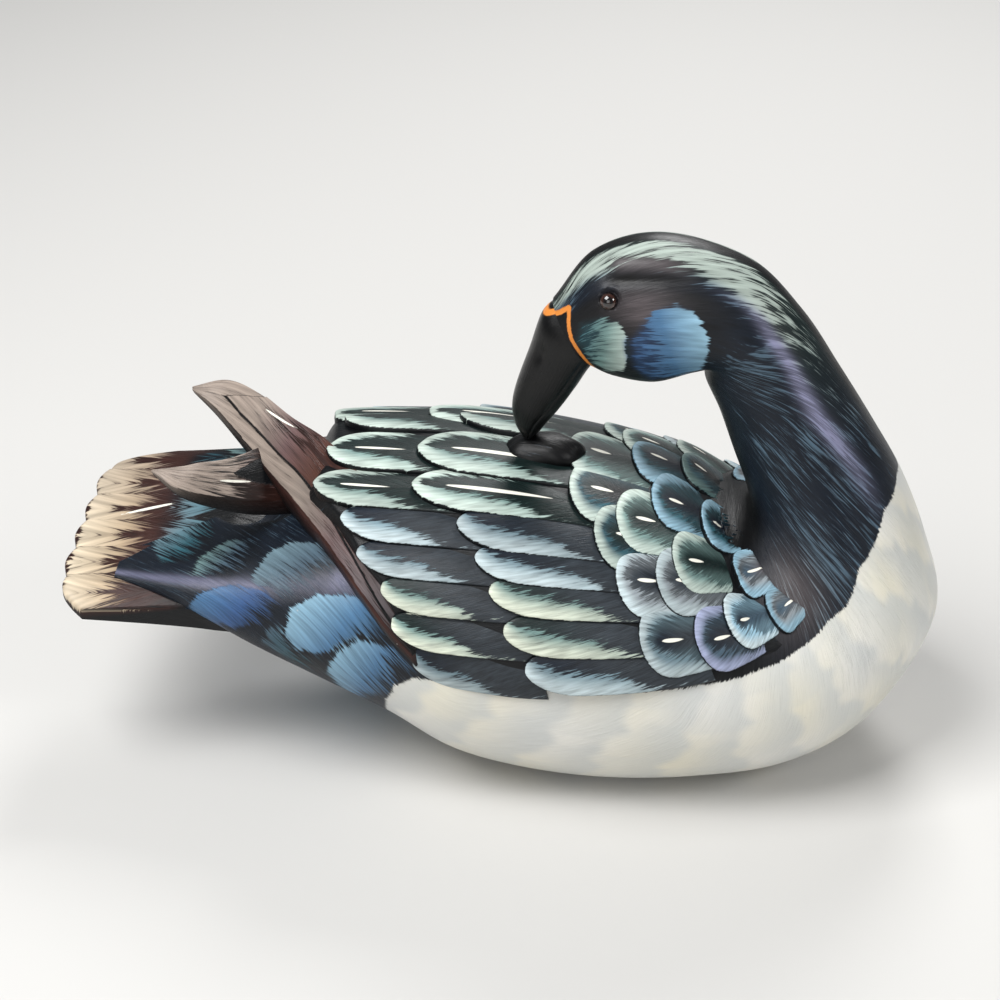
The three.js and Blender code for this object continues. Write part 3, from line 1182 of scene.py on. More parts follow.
    def coat(self, points: Floats, station: Floats, angle: Floats) -> Coat:
        """Paints points of the body by their station and angle.

        Args:
            points: The points.
            station: Station of each.
            angle: Angle of each in radians, any turn.

        Returns:
            The coat.
        """
        turn = np.abs(np.arctan2(np.sin(angle), np.cos(angle)))
        degrees = np.degrees(turn)
        folded = points.copy()
        folded[..., 1] = -np.abs(points[..., 1])
        coat = Coat.blank(points.shape[:-1])
        coat.strokes = self.stroke_place(station, turn)
        self.paint_rump(coat, points, station, degrees)
        self.paint_neck(coat, station, degrees)
        self.paint_head(coat, folded, station, degrees)
        for patch in self.cheek_patches:
            patch.lay(coat, points, ease(station, 17, 17.4) * ease(-folded[..., 1], 4, 8))
        self.paint_white(coat, station, degrees)
        self.paint_bill_line(coat, points, ease(station, 17, 18))
        return coat

    def paint_bill_line(self, coat: Coat, points: Floats, where: Floats) -> None:
        """Draws the line round the bill and blackens what lies in front of it.

        Args:
            coat: The coat, changed in place.
            points: Its points.
            where: 1 where the line may be, 0 elsewhere.
        """
        line = np.array(self.bill_line)
        view = points[..., [0, 2]]
        coat.ink = np.where(where > 0.5, path_distance(view, line), 50.0)
        beyond = outline_distance(view, np.vstack([line, np.array(self.bill_side)]))
        black = ease(beyond, -0.5, 0.3) * where
        coat.under = blend(coat.under, Pot.SOOT.light, black)
        coat.over = blend(coat.over, Pot.IRON.light, black)
        coat.cover = coat.cover * (1 - black)

    def paint_rump(self, coat: Coat, points: Floats, station: Floats, degrees: Floats) -> None:
        """Paints the rump: a smoky ground, a painted mauve highlight along its ridge and the painted feathers.

        Args:
            coat: The coat, changed in place.
            points: Its points.
            station: Station of each.
            degrees: Angle of each from the inner rail.
        """
        rump = 1 - ease(station, 4.6, 5.6)
        coat.under = blend(coat.under, Pot.NAVY.light * 0.8, rump)
        coat.over = blend(coat.over, Pot.SLATE.light * 0.8, rump)
        coat.cover = coat.cover + rump * (0.3 - 0.2 * ease(degrees, 90, 120))
        # Painted highlight: a mauve band along the rump's ridge, where its top turns into its side.
        ridge = np.exp(-(((degrees - np.interp(station, (0, 1, 2, 3, 4), (66, 62, 60, 56, 52))) / 6.5) ** 2)) * rump
        coat.under = blend(coat.under, Pot.MAUVE.light * 0.62, ridge * 0.85)
        for patch in self.rump_patches:
            patch.lay(coat, points, rump)
        # The painted highlight along the ridge is laid again over the patches.
        coat.under = blend(coat.under, Pot.MAUVE.light * 0.6, ridge * 0.55)

    def paint_neck(self, coat: Coat, station: Floats, degrees: Floats) -> None:
        """Paints the dark neck with its slate strokes, a painted mauve highlight down its side and painted shade on
        its inner side.

        Args:
            coat: The coat, changed in place.
            station: Station of each point.
            degrees: Angle of each from the inner rail.
        """
        neck = ease(station, 9.0, 12.0)
        coat.under = blend(coat.under, Pot.NAVY.light * 0.85, neck)
        coat.over = blend(coat.over, Pot.SLATE.light * 1.05, neck)
        side = ease(degrees, 25, 75) * (1 - ease(degrees, 150, 172))
        coat.cover = coat.cover * (1 - neck) + neck * (0.12 + 0.26 * side)
        cloud = np.sin(station * 2.3 + degrees * 0.045) * np.sin(station * 0.9 - degrees * 0.06 + 1)
        coat.cover = coat.cover + 0.13 * cloud * neck * side
        # Painted shade: the inner side of the neck, from its base on, goes to soot and loses its strokes.
        painted_inner_shade = (1 - ease(degrees, 18, 42)) * ease(station, 8.5, 10.5)
        coat.under = blend(coat.under, Pot.SOOT.light, painted_inner_shade)
        coat.cover = coat.cover * (1 - 0.9 * painted_inner_shade)
        base = np.exp(-(((station - 11.4) / 0.95) ** 2) - ((degrees - 60) / 17) ** 2)
        coat.under = blend(coat.under, Pot.PLUM.light * 0.55, base)
        coat.over = blend(coat.over, Pot.GREY.light * 0.8, np.clip(base * 1.2, 0, 1))
        coat.cover = coat.cover + 0.1 * base
        # Painted highlight: a soft mauve streak down the side of the neck, in both ground and strokes.
        middle = np.interp(station, (13.6, 14.6, 15.6, 16.4, 17.2, 18.0), (128, 126, 117, 119, 122, 134))
        streak = np.exp(-(((degrees - middle) / 8) ** 2)) * ease(station, 13.4, 15.6) * (1 - ease(station, 17.2, 18.6))
        coat.under = blend(coat.under, Pot.MAUVE.light * 0.7, streak)
        coat.over = blend(coat.over, Pot.MAUVE.light, np.clip(streak * 1.2, 0, 1))
        coat.cover = coat.cover + 0.12 * streak

    def paint_head(self, coat: Coat, folded: Floats, station: Floats, degrees: Floats) -> None:
        """Paints the pale crown, the smoky face with its painted mauve-grey sheen, the groove over the eye in painted
        shade, and the black rim.

        Args:
            coat: The coat, changed in place.
            folded: The points with both sides folded onto the bird's right.
            station: Station of each.
            degrees: Angle of each from the inner rail.
        """
        low = np.interp(station, (15.4, 16.4, 17.9, 18.6, 19.4, 20.3, 21), (128, 124, 130, 138, 139, 142, 150))
        crown = ease(degrees - low, -7, 9) * ease(station, 15.0, 17.6)
        coat.under = blend(coat.under, Pot.DEEP_TEAL.light, crown)
        coat.over = blend(coat.over, Pot.MINT.light * 0.62, crown)
        fade = 0.5 * ease(station, 16.4, 18.4) * (1 - 0.45 * ease(station, 20, 21))
        coat.cover = coat.cover * (1 - 0.4 * crown) + fade * crown
        groove, ridge = self.brow_marks(folded)
        face = ease(station, 17.4, 18.6) * (1 - ease(degrees, 118, 130))
        coat.under = blend(coat.under, Pot.SOOT.light, face * 0.85)
        coat.cover = coat.cover * (1 - 0.96 * face)
        # Painted highlight: a mauve-grey sheen behind the eye and on the ridge over the groove, with fewer strokes on
        # the ridge.
        eye_sheen = np.exp(-(((folded[..., 0] - 9) / 13) ** 2) - ((folded[..., 2] - 220) / 8.5) ** 2)
        painted_sheen = np.clip(eye_sheen + 0.95 * ridge, 0, 1) * ease(station, 17.4, 18.4)
        coat.under = blend(coat.under, Pot.PLUM.light * 0.85, painted_sheen * 0.85)
        coat.cover = coat.cover * (1 - 0.6 * ridge)
        # Painted shade: the groove over the eye goes to soot and loses its strokes.
        dark = np.clip(groove * 1.35, 0, 1)
        coat.under = blend(coat.under, Pot.SOOT.light, dark)
        coat.cover = coat.cover * (1 - dark)
        rim = ease(degrees, 166, 174) * ease(station, 14.5, 16)
        coat.under = blend(coat.under, Pot.SOOT.light, rim)
        coat.cover = coat.cover * (1 - 0.92 * rim)

    def paint_white(self, coat: Coat, station: Floats, degrees: Floats) -> None:
        """Paints the white flanks, breast and belly with their soft scallops.

        Args:
            coat: The coat, changed in place.
            station: Station of each point.
            degrees: Angle of each from the inner rail.
        """
        chart = np.stack([station * 30, degrees * 1.25], axis=-1)
        corners = np.array(self.white_edge) * np.array([30, 1.25])
        coat.edge = outline_distance(chart, corners)
        light = self.scallops(station, degrees)
        warm = 0.5 + 0.5 * np.sin(station * 1.9 + degrees * 0.05) * np.sin(station * 0.7 - degrees * 0.09)
        colour = blend(Pot.WHITE.light, Pot.WARM.light, warm)
        coat.pale = blend(Pot.SHADE.light, colour, light)

    def build(self, finish: bpy.types.Material) -> bpy.types.Object:
        """Makes the piece, closed at the tail and at the face.

        Args:
            finish: Its material.

        Returns:
            The piece.
        """
        points, station, angle = self.surface()
        coat = self.coat(points, station, angle)
        builder = PieceBuilder("carved_body")
        builder.add(*closed_ends(points, coat))
        return builder.build(finish, "painted_wood")


def closed_ends(points: Floats, coat: Coat) -> tuple[Floats, Coat]:
    """Closes a tube with two poles, each end's ring drawn in to its middle.

    Args:
        points: Rings of points, one a row.
        coat: Their paint.

    Returns:
        The longer grid and its paint.
    """
    before, after = (0.0, 0.6), (0.6, 0.0)
    rings = [points[0].mean(axis=0) + (points[0] - points[0].mean(axis=0)) * share for share in before]
    rings += list(points)
    rings += [points[-1].mean(axis=0) + (points[-1] - points[-1].mean(axis=0)) * share for share in after]
    places = [0] * len(before) + list(range(len(points))) + [len(points) - 1] * len(after)
    values = {key: getattr(coat, key)[places] for key in coat.__dataclass_fields__}
    return np.array(rings), Coat(**values)


# Feathers


class Tone(Enum):
    """The colour sets that feathers are painted with: light strokes, their tint, ground and root."""

    MINT = (Pot.MINT, Pot.MOSS, Pot.DEEP_TEAL, Pot.DEEP_TEAL)
    CREAM = (Pot.CREAM, Pot.MOSS, Pot.DEEP_TEAL, Pot.IRON)
    ICE = (Pot.ICE, Pot.STEEL, Pot.NAVY, Pot.IRON)
    SEA = (Pot.MINT, Pot.TEAL, Pot.DEEP_TEAL, Pot.NIGHT)
    SKY = (Pot.SKY, Pot.TEAL, Pot.NAVY, Pot.NAVY)
    PALE = (Pot.ICE, Pot.SKY, Pot.NAVY, Pot.SLATE)
    LILAC = (Pot.LILAC, Pot.SLATE, Pot.NAVY, Pot.NAVY)
    GREY = (Pot.ICE, Pot.GREY, Pot.IRON, Pot.NAVY)
    SMOKE = (Pot.SKY, Pot.GREY, Pot.SLATE, Pot.PLUM)
    DEEP = (Pot.MOSS, Pot.TEAL, Pot.NIGHT, Pot.NIGHT)


@dataclass
class FeatherPlace:
    """Where the points of a feather lie on it, in millimetres.

    Attributes:
        away: Distance from the tip.
        across: Distance from the shaft, positive towards the lower edge.
        lower: Distance in from the outline on the lower side.
        upper: Distance in from the outline on the upper side.
    """

    away: Floats
    across: Floats
    lower: Floats
    upper: Floats


@dataclass(frozen=True)
class Feather:
    """One carved feather on the shawl.

    Attributes:
        tip: Station and angle in degrees of its tip.
        root: Station and angle of its root.
        spread: Half its width in degrees.
        tip_lift: How proud its tip stands, in millimetres.
        edge_lift: How much prouder its lower edge stands.
        tone: Its colours.
        covert: Whether it is one of the long wing coverts.
        shaft: How far above the middle its shaft lies, in millimetres.
        seen: How much of its length shows, in millimetres.
        quill: Start, end and half width of its white shaft in millimetres, or nothing.
        over_body: Whether the body's shoulder may stand above the shawl under it.
        seed: Number that sets its strokes apart.
    """

    tip: tuple[float, float]
    root: tuple[float, float]
    spread: float
    tip_lift: float
    edge_lift: float
    tone: Tone
    covert: bool
    shaft: float
    seen: float
    quill: tuple[float, float, float] | None
    over_body: bool
    seed: int

    def width(self, run: Floats) -> Floats:
        """Gives the width's share along the feather: round at the tip, then barely narrowing."""
        towards = np.maximum(0, 1 - run / 0.34)
        return np.sqrt(np.maximum(1 - towards**2.4, 0)) * (1 - 0.12 * run)

    def surface(self) -> tuple[Floats, FeatherPlace]:
        """Works out the feather as a closed shell.

        Its top follows the shawl, or the body's shoulder where that is a little higher, and sinks under
        the shoulder where that is much higher. It is lifted most at the tip and the lower edge, with a
        low crown along the shaft and a rounded rim. Its sides go straight down into the wood.

        Returns:
            The points and their places.
        """
        share = np.concatenate([np.linspace(0, 1, 46) ** 1.6, [1.0]])
        spread = np.sin(np.linspace(-0.5, 0.5, 39) * math.pi)
        run, side = grid_of(share, np.concatenate([spread, [1.0, -1.0]]))
        reach = min(self.root[0], SHAWL.last) - self.tip[0]
        station = self.tip[0] + reach * run
        middle = self.tip[1] + (self.root[1] - self.tip[1]) * run
        width = self.width(run)
        angle = np.radians(middle + side * self.spread * width)
        foot = SHAWL.point(station, angle)
        normal = SHAWL.normal(station, angle)
        if self.over_body:
            rise = BODY.rise(foot, normal, (8.5, 13.5), (-70.0, 130.0))
            raised = 0.5 * (rise + np.sqrt(rise**2 + 0.6)) * (1 - ease(rise, 5, 9))
            foot = foot + normal * raised[..., None]
        length = reach * 29.0
        half = self.spread * 1.5 * width
        slope = np.abs(np.gradient(half[:, 0], share * length + np.arange(len(share)) * 1e-6))[:, None]
        bevel = np.sqrt(1 + slope**2)
        lower, upper = half * (1 - side) / bevel, half * (1 + side) / bevel
        inward = np.minimum(np.minimum(lower, upper), run * length * 1.2)
        rim = 1.3 * (1 - np.sqrt(np.maximum(1 - (1 - np.clip(inward / 1.3, 0, 1)) ** 2, 0)))
        lift = self.tip_lift * (1 - 1.6 * run) + self.edge_lift * side + 0.7 * (1 - side**2) - rim
        lift[:, len(spread) :] = -4.0
        points = foot + normal * lift[..., None]
        points[-1] = points[-1].mean(axis=0)
        return points, FeatherPlace(run * length, side * half, lower, upper)

    def coat(self, place: FeatherPlace) -> Coat:
        """Paints the feather.

        The strokes spring from the shaft and turn towards the tip: level at the tip, and steeper
        further on, so a stroke is where the distance from the shaft plus a slowly rising part of the
        distance from the tip is the same. They are lightest along the outline and fade towards the root, partly as
        painted shade under the next feather.

        Args:
            place: Where its points lie on it.

        Returns:
            The coat.
        """
        light, tint, ground, root = self.tone.value
        away, from_shaft = place.away, place.across + self.shaft
        coat = Coat.blank(away.shape, ground)
        beside = np.abs(from_shaft)
        steep, turn = (0.44, 15.0) if self.covert else (0.8, 9.0)
        fan = steep * (np.sqrt(away**2 + turn**2) - turn)
        seed = self.seed + 0.5 * (from_shaft < 0)
        coat.strokes = np.stack([beside * (1 + 0.012 * beside) + fan, away, seed], axis=-1)
        below = from_shaft >= 0
        margin = np.where(below, place.lower, place.upper)
        nearest = np.minimum(place.lower, place.upper)
        if self.covert:
            wide = np.where(below, 11.5 - 4.5 * ease(away, 12, self.seen), 6.5 - 2.5 * ease(away, 12, self.seen))
            cover = 0.5 + (wide - margin) / 10
            # Past the part that shows the light strokes fade out: partly the feather's own paint, partly painted shade
            # under the next feather.
            cover -= 0.75 * ease(away, 0.6 * self.seen, 1.1 * self.seen)
            cover -= 0.95 * np.exp(-((from_shaft / 1.7) ** 2)) * ease(away, 1.5, 8)
            inner = ease(margin, 2, 12) + 0.5 * ease(away, 20, self.seen)
        else:
            wide = np.where(below, 11.0, 8.0)
            cover = 0.56 + (wide - margin) / 13
            # Towards the root the light strokes fade out: partly the feather's own paint, partly painted shade under
            # the next feather.
            cover -= 0.55 * ease(away, 15, 34)
            inner = ease(margin, 2, 11) + 0.3 * ease(away, 10, 30)
        # At the outline the strokes give way to the ground: partly a dark gap in the paint, partly painted shade in
        # the crevice between feathers.
        cover = np.minimum(cover, 0.98) - 0.9 * ease(-nearest, -1.1, 0.1)
        coat.cover = np.clip(cover, 0, 1)
        shade = 0.86 + 0.12 * math.sin(self.seed * 2.4)
        coat.over = blend(light.light * shade, tint.light * shade, np.clip(inner, 0, 1))
        coat.under = blend(coat.under, root.light * 0.8, ease(away, 8, 0.8 * self.seen))
        if not self.covert:
            coat.under = blend(tint.light * 0.4, coat.under, ease(margin, 9, 18))
        # A thin band of night ground along the outline: partly dark paint, partly painted shade in the crevice.
        coat.under = blend(coat.under, Pot.NIGHT.light, ease(-nearest, -0.9, -0.1))
        if self.quill:
            start, end, thick = self.quill
            part = np.clip((away - start) / (end - start), 0, 1)
            bend = 0.0 if self.covert else 1.6 * (part - 0.5) ** 2 * math.cos(self.seed * 1.7)
            taper = thick * np.sin(math.pi * np.clip(part, 0, 1) ** 0.75) ** 0.6
            coat.quill = np.where((part <= 0) | (part >= 1), -1.0, taper - np.abs(from_shaft - bend))
        return coat


@dataclass
class FoldedWings:
    """The feathers of both folded wings, and the shawl of wood that they stand on.

    Attributes:
        rear: Tip stations and angles of the rear coverts.
        front: Tip stations and angles of the front coverts.
        scapulars: Tip station, tip angle and colours of the feathers in front of them.
    """

    rear: tuple[tuple[float, float], ...] = (
        (0.38, -16),
        (0.28, 5),
        (0.1, 24),
        (0.5, 39),
        (0.65, 53),
        (0.9, 66),
        (0.83, 80.5),
        (0.88, 94),
    )
    front: tuple[tuple[float, float], ...] = (
        (2.18, -17),
        (1.68, 4),
        (1.65, 21.5),
        (2.33, 35.5),
        (2.58, 47),
        (2.75, 58),
        (2.88, 71),
        (3.12, 83),
    )
    scapulars: tuple[tuple[float, float, Tone], ...] = (
        (4.03, -4, Tone.MINT),
        (4.1, 13, Tone.SEA),
        (4.5, 30, Tone.SEA),
        (4.8, 46, Tone.GREY),
        (5.03, 67, Tone.ICE),
        (5.12, -10, Tone.SKY),
        (4.88, 22, Tone.MINT),
        (5.5, 44, Tone.GREY),
        (5.98, 66, Tone.LILAC),
        (5.55, 10, Tone.SKY),
        (5.88, 35, Tone.MINT),
        (6.75, 59, Tone.PALE),
        (6.15, -15, Tone.DEEP),
        (6.75, 13, Tone.SKY),
        (7.6, 36, Tone.SMOKE),
        (8.1, 58, Tone.SMOKE),
    )

    def covert(self, tip: tuple[float, float], reach: float, row: int, tone: Tone, seed: int) -> Feather:
        """Sets out one covert, its root drawn in towards the ridge.

        Args:
            tip: Station and angle of its tip.
            reach: How many stations long it is.
            row: Its row, counted from the ridge.
            tone: Its colours.
            seed: Its number.

        Returns:
            The feather.
        """
        down = min(abs(tip[1]) / 50, 1.0)
        rear = reach < 3
        return Feather(
            tip=tip,
            root=(tip[0] + reach, tip[1] * (1 - 0.037 * reach)),
            spread=11.5 + (8 - 11.5) * down,
            tip_lift=2.2,
            edge_lift=1.1,
            tone=tone,
            covert=True,
            shaft=0.0 if row < 3 else 8.0,
            seen=48.0 if rear else 64.0,
            quill=((13.0, 36.0, 0.95) if rear else (15.0, 65.0, 1.3)) if row in (1, 2) else None,
            over_body=False,
            seed=seed,
        )

    def feathers(self, from_angle: float) -> list[Feather]:
        """Lists one wing's feathers.

        Args:
            from_angle: Feathers whose tips are nearer the ridge than this are left out.

        Returns:
            The feathers, from the rear forwards.
        """
        tones = (Tone.MINT, Tone.MINT, Tone.MINT, Tone.ICE, Tone.ICE, Tone.CREAM, Tone.CREAM, Tone.ICE)
        found = []
        for start, tips, reach in ((0, self.rear, 2.5), (20, self.front, 3.0)):
            for row, tip in enumerate(tips):
                found.append(self.covert(tip, reach, row, tones[row], start + row))
        for number, (station, degrees, tone) in enumerate(self.scapulars):
            found.append(
                Feather(
                    tip=(station, degrees),
                    root=(station + 1.6, degrees * 0.92),
                    spread=14.5 * (1 - 0.03 * (station - 4)),
                    tip_lift=1.9,
                    edge_lift=0.3,
                    tone=tone,
                    covert=False,
                    shaft=0.0,
                    seen=30.0,
                    quill=(10.5, 22.5, 1.15),
                    over_body=station > 5.4,
                    seed=50 + number,
                )
            )
        return [feather for feather in found if feather.tip[1] > from_angle]

    def build_wing(self, name: str, from_angle: float, left: bool, finish: bpy.types.Material) -> bpy.types.Object:
        """Makes one wing's feathers.

        Args:
            name: The piece's name.
            from_angle: Angle in degrees that its feathers start from.
            left: Whether it is the left wing.
            finish: Its material.

        Returns:
            The piece.
        """
        builder = PieceBuilder(name)
        for feather in self.feathers(from_angle):
            points, place = feather.surface()
            builder.add(mirrored(points) if left else points, feather.coat(place), flipped=left)
        return builder.build(finish, "painted_wood")

    def build_shawl(self, finish: bpy.types.Material) -> bpy.types.Object:
        """Makes the wood under the feathers.

        It is the shawl's skin, a little way in. It dives further behind the rear feathers' tips, and
        into the flank below their lower edge.

        Args:
            finish: Its material.

        Returns:
            The piece.
        """
        station, angle = grid_of(np.linspace(0, SHAWL.last, 160), np.linspace(0, 2 * math.pi, 200, endpoint=False))
        degrees = np.abs(np.degrees(np.arctan2(np.sin(angle), np.cos(angle))))
        edge = np.interp(station, (0, 2.2, 4.1, 5.2, 6.2, 7, 9), (100, 92, 85, 82, 79, 78, 78))
        tips = np.interp(degrees, (0, 5, 24, 39, 53, 66, 80.5, 94), (0.3, 0.28, 0.1, 0.5, 0.65, 0.9, 0.83, 0.88))
        dive = 7.0 * ease(degrees - edge, -6, 6) + 0.4 + 16.0 * ease(tips - station, -0.12, 0.45)
        points = SHAWL.point(station, angle) - SHAWL.normal(station, angle) * dive[..., None]
        points[..., 2] = np.maximum(points[..., 2], 1.0)
        coat = Coat.blank(points.shape[:-1], Pot.NIGHT)
        coat.strokes = np.stack([degrees * 1.2, station * 28, np.zeros_like(station)], axis=-1)
        coat.cover = np.full(station.shape, 0.1)
        coat.over = np.broadcast_to(Pot.SLATE.light * 0.5, points.shape).copy()
        builder = PieceBuilder("wing_shawl")
        builder.add(*closed_ends(points, coat))
        return builder.build(finish, "painted_wood")


# Wing blades


@dataclass(frozen=True)
class Blade:
    """A long wing blade, from its free tip to its root in the flank.

    Attributes:
        name: The piece's name.
        edges: Edge points in pairs from tip to root, the edge nearer the ridge first.
        thickness: Its thickness at half length, in millimetres.
        flipped: Whether its sections turn the other way.
        line: Place along and across of the line between its two feathers, from the tip.
        arm: The same for the short arm from that line's start to the edge nearer the ridge.
        quill: Start and end along, place across and lean of its white shaft.
        teeth: Which edge the strokes fringe, 0 for the one nearer the ridge and 1 for the other.
    """

    name: str
    edges: tuple[tuple[tuple[float, float, float], tuple[float, float, float]], ...]
    thickness: float
    flipped: bool
    line: tuple[tuple[float, float], ...]
    arm: tuple[tuple[float, float], ...]
    quill: tuple[float, float, float, float]
    teeth: int

    def surface(self) -> tuple[Floats, Floats, Floats, Floats]:
        """Works out the blade as a closed shell.

        The two edges are curves through their points. The top spans them with a low crest, the upper
        feather standing a little proud of the lower one, and the underside lies below by a thickness
        that grows from the tip and shrinks again towards the root.

        Returns:
            The points, the place along and across from 0 to 1, and the signed distance in millimetres
            into the upper feather.
        """
        pairs = np.array(self.edges, dtype=float)
        top = np.concatenate([np.linspace(0, 0.06, 4)[:-1], np.linspace(0.06, 0.94, 44), np.linspace(0.94, 1, 4)[1:]])
        under = np.linspace(1, 0, 12)
        along, across = grid_of(np.linspace(0, 1, 180) ** 1.1, np.concatenate([top, under]))
        last = len(pairs) - 1
        front = curve(pairs[:, 0], along * last)
        rear = curve(pairs[:, 1], along * last)
        points = front + (rear - front) * across[..., None]
        width = np.linalg.norm(rear - front, axis=-1)
        crest = 2 * np.sin(math.pi * np.minimum(along * 1.4, 0.5)) * (1 - np.abs(2 * across - 1) ** 1.6)
        depth = np.interp(along, (0, 0.5, 1), (2.5, self.thickness, 5))
        line = np.interp(along, *np.array(self.line).T)
        arm = np.interp(along, *np.array(self.arm).T)
        inner = np.minimum(line - across, across - arm) * width
        points[..., 2] += crest + 0.8 * ease(inner, -0.4, 0.5) * ease(along, 0.1, 0.16)
        is_under = np.arange(across.shape[1]) >= len(top)
        lowered = (front + (rear - front) * across[..., None]) + np.array([0.35, 0, -1.0]) * depth[..., None]
        points[:, is_under] = lowered[:, is_under]
        edge = np.minimum(across, 1 - across) * width
        rim = 0.9 * (1 - np.sqrt(np.maximum(1 - (1 - np.clip(edge / 0.9, 0, 1)) ** 2, 0)))
        points[:, ~is_under, 2] -= rim[:, ~is_under]
        return points, along, across, np.where(is_under, 50.0, inner)

    def coat(self, along: Floats, across: Floats, inner: Floats) -> Coat:
        """Paints the blade: taupe at the tip, then rusty brown, then rose and plum past the coverts.

        Args:
            along: Place along it.
            across: Place across it.
            inner: Signed distance into the upper feather.

        Returns:
            The coat.
        """
        coat = Coat.blank(along.shape, Pot.BARK)
        length, width = 189.0, 29.0
        is_under = inner > 40
        aside = across * width
        fringe = aside if self.teeth == 0 else width - aside
        drift = 0.32 * length * along * (1 - 0.5 * along)
        lean = np.where((inner > 0) & ~is_under, -1.0, 1.0) * (1 if self.teeth else -1)
        seed = np.where((inner > 0) & ~is_under, 4.0, 7.0) + len(self.name)
        coat.strokes = np.stack([aside + lean * drift * 0.6, length * along, seed], axis=-1)
        stops = (0.0, 0.28, 0.4, 0.52, 0.66, 0.85, 1.0)
        upper = (Pot.TAUPE, Pot.TAUPE, Pot.ROSE, Pot.RUST, Pot.RUST, Pot.PLUM, Pot.NIGHT)
        lower = (Pot.TAUPE, Pot.TAUPE, Pot.TAUPE, Pot.TAUPE, Pot.ROSE, Pot.PLUM, Pot.NIGHT)
        both = [
            np.stack([np.interp(along, stops, [pot.light[i] for pot in pots]) for i in range(3)], axis=-1)
            for pots in (upper, lower)
        ]
        within = ease(inner, -0.3, 0.3)
        coat.over = blend(both[1], both[0], within) * (1.12 - 0.3 * ease(along, 0.1, 0.5))[..., None]
        coat.under = blend(Pot.BARK.light, Pot.MAROON.light, ease(along, 0.25, 0.55))
        coat.under = blend(coat.under, coat.over * 0.5, 1 - ease(along, 0.0, 0.25))
        middle = within * ease(inner, 2, 16) * ease(along, 0.12, 0.4)
        coat.cover = 0.74 - 0.42 * middle - 0.1 * ease(along, 0.5, 0.9) - 0.9 * ease(-fringe, -1.3, 0)
        coat.ink = inner
        coat.under[is_under] = Pot.NIGHT.light
        coat.cover[is_under] = 0.0
        start, end, centre, slant = self.quill
        part = np.clip((along - start) / (end - start), 0, 1)
        taper = 0.75 * np.sin(math.pi * part**0.8) ** 0.6
        place = np.abs(across - centre - slant * (part - 0.5)) * width
        coat.quill = np.where((part <= 0) | (part >= 1) | is_under, -1.0, taper - place)
        return coat

    def build(self, finish: bpy.types.Material) -> bpy.types.Object:
        """Makes the piece.

        Args:
            finish: Its material.

        Returns:
            The piece.
        """
        points, along, across, inner = self.surface()
        coat = self.coat(along, across, inner)
        builder = PieceBuilder(self.name)
        grid, closed = closed_ends(points, coat)
        builder.add(grid, closed, flipped=not self.flipped)
        return builder.build(finish, "painted_wood")


RIGHT_BLADE = Blade(
    name="right_wing_blade",
    edges=(
        ((-202, 37, 145), (-202, 36, 144)),
        ((-186, 41, 147), (-191, 29, 138.5)),
        ((-169, 29, 147), (-175, 12, 131.5)),
        ((-151, 13, 143), (-160, -8, 126)),
        ((-132, -4, 141), (-145, -29, 123.5)),
        ((-113, -28, 136), (-130, -47, 117)),
        ((-98, -50, 124), (-114, -66, 107)),
        ((-86, -68, 106), (-99, -79, 94)),
        ((-76, -76, 86), (-86, -83, 80)),
    ),
    thickness=15,
    flipped=False,
    line=(
        (0.0, 0.5),
        (0.15, 0.58),
        (0.22, 0.68),
        (0.33, 0.67),
        (0.46, 0.68),
        (0.57, 0.72),
        (0.67, 0.77),
        (0.85, 0.85),
        (1, 0.9),
    ),
    arm=((0.0, 0.9), (0.15, 0.58), (0.2, 0.33), (0.26, 0.1), (0.3, -0.1), (1, -0.2)),
    quill=(0.29, 0.41, 0.2, -0.12),
    teeth=1,
)
LEFT_BLADE = Blade(
    name="left_wing_blade",
    edges=(
        ((-205, -39, 142), (-205, -38, 142)),
        ((-193, -43, 135), (-190, -28, 139.5)),
        ((-178, -33, 125), (-176, -10, 133)),
        ((-162, -20, 117), (-163, 9, 130)),
        ((-143, -4, 113), (-148, 27, 124)),
        ((-121, 18, 114), (-130, 47, 117)),
        ((-100, 46, 112), (-114, 66, 107)),
        ((-86, 68, 100), (-99, 79, 94)),
        ((-76, 76, 86), (-86, 83, 80)),
    ),
    thickness=8,
    flipped=True,
    line=((0.0, 2.0), (1, 2.0)),
    arm=((0.0, -1.0), (1, -1.0)),
    quill=(0.24, 0.35, 0.33, -0.06),
    teeth=0,
)


# Tail


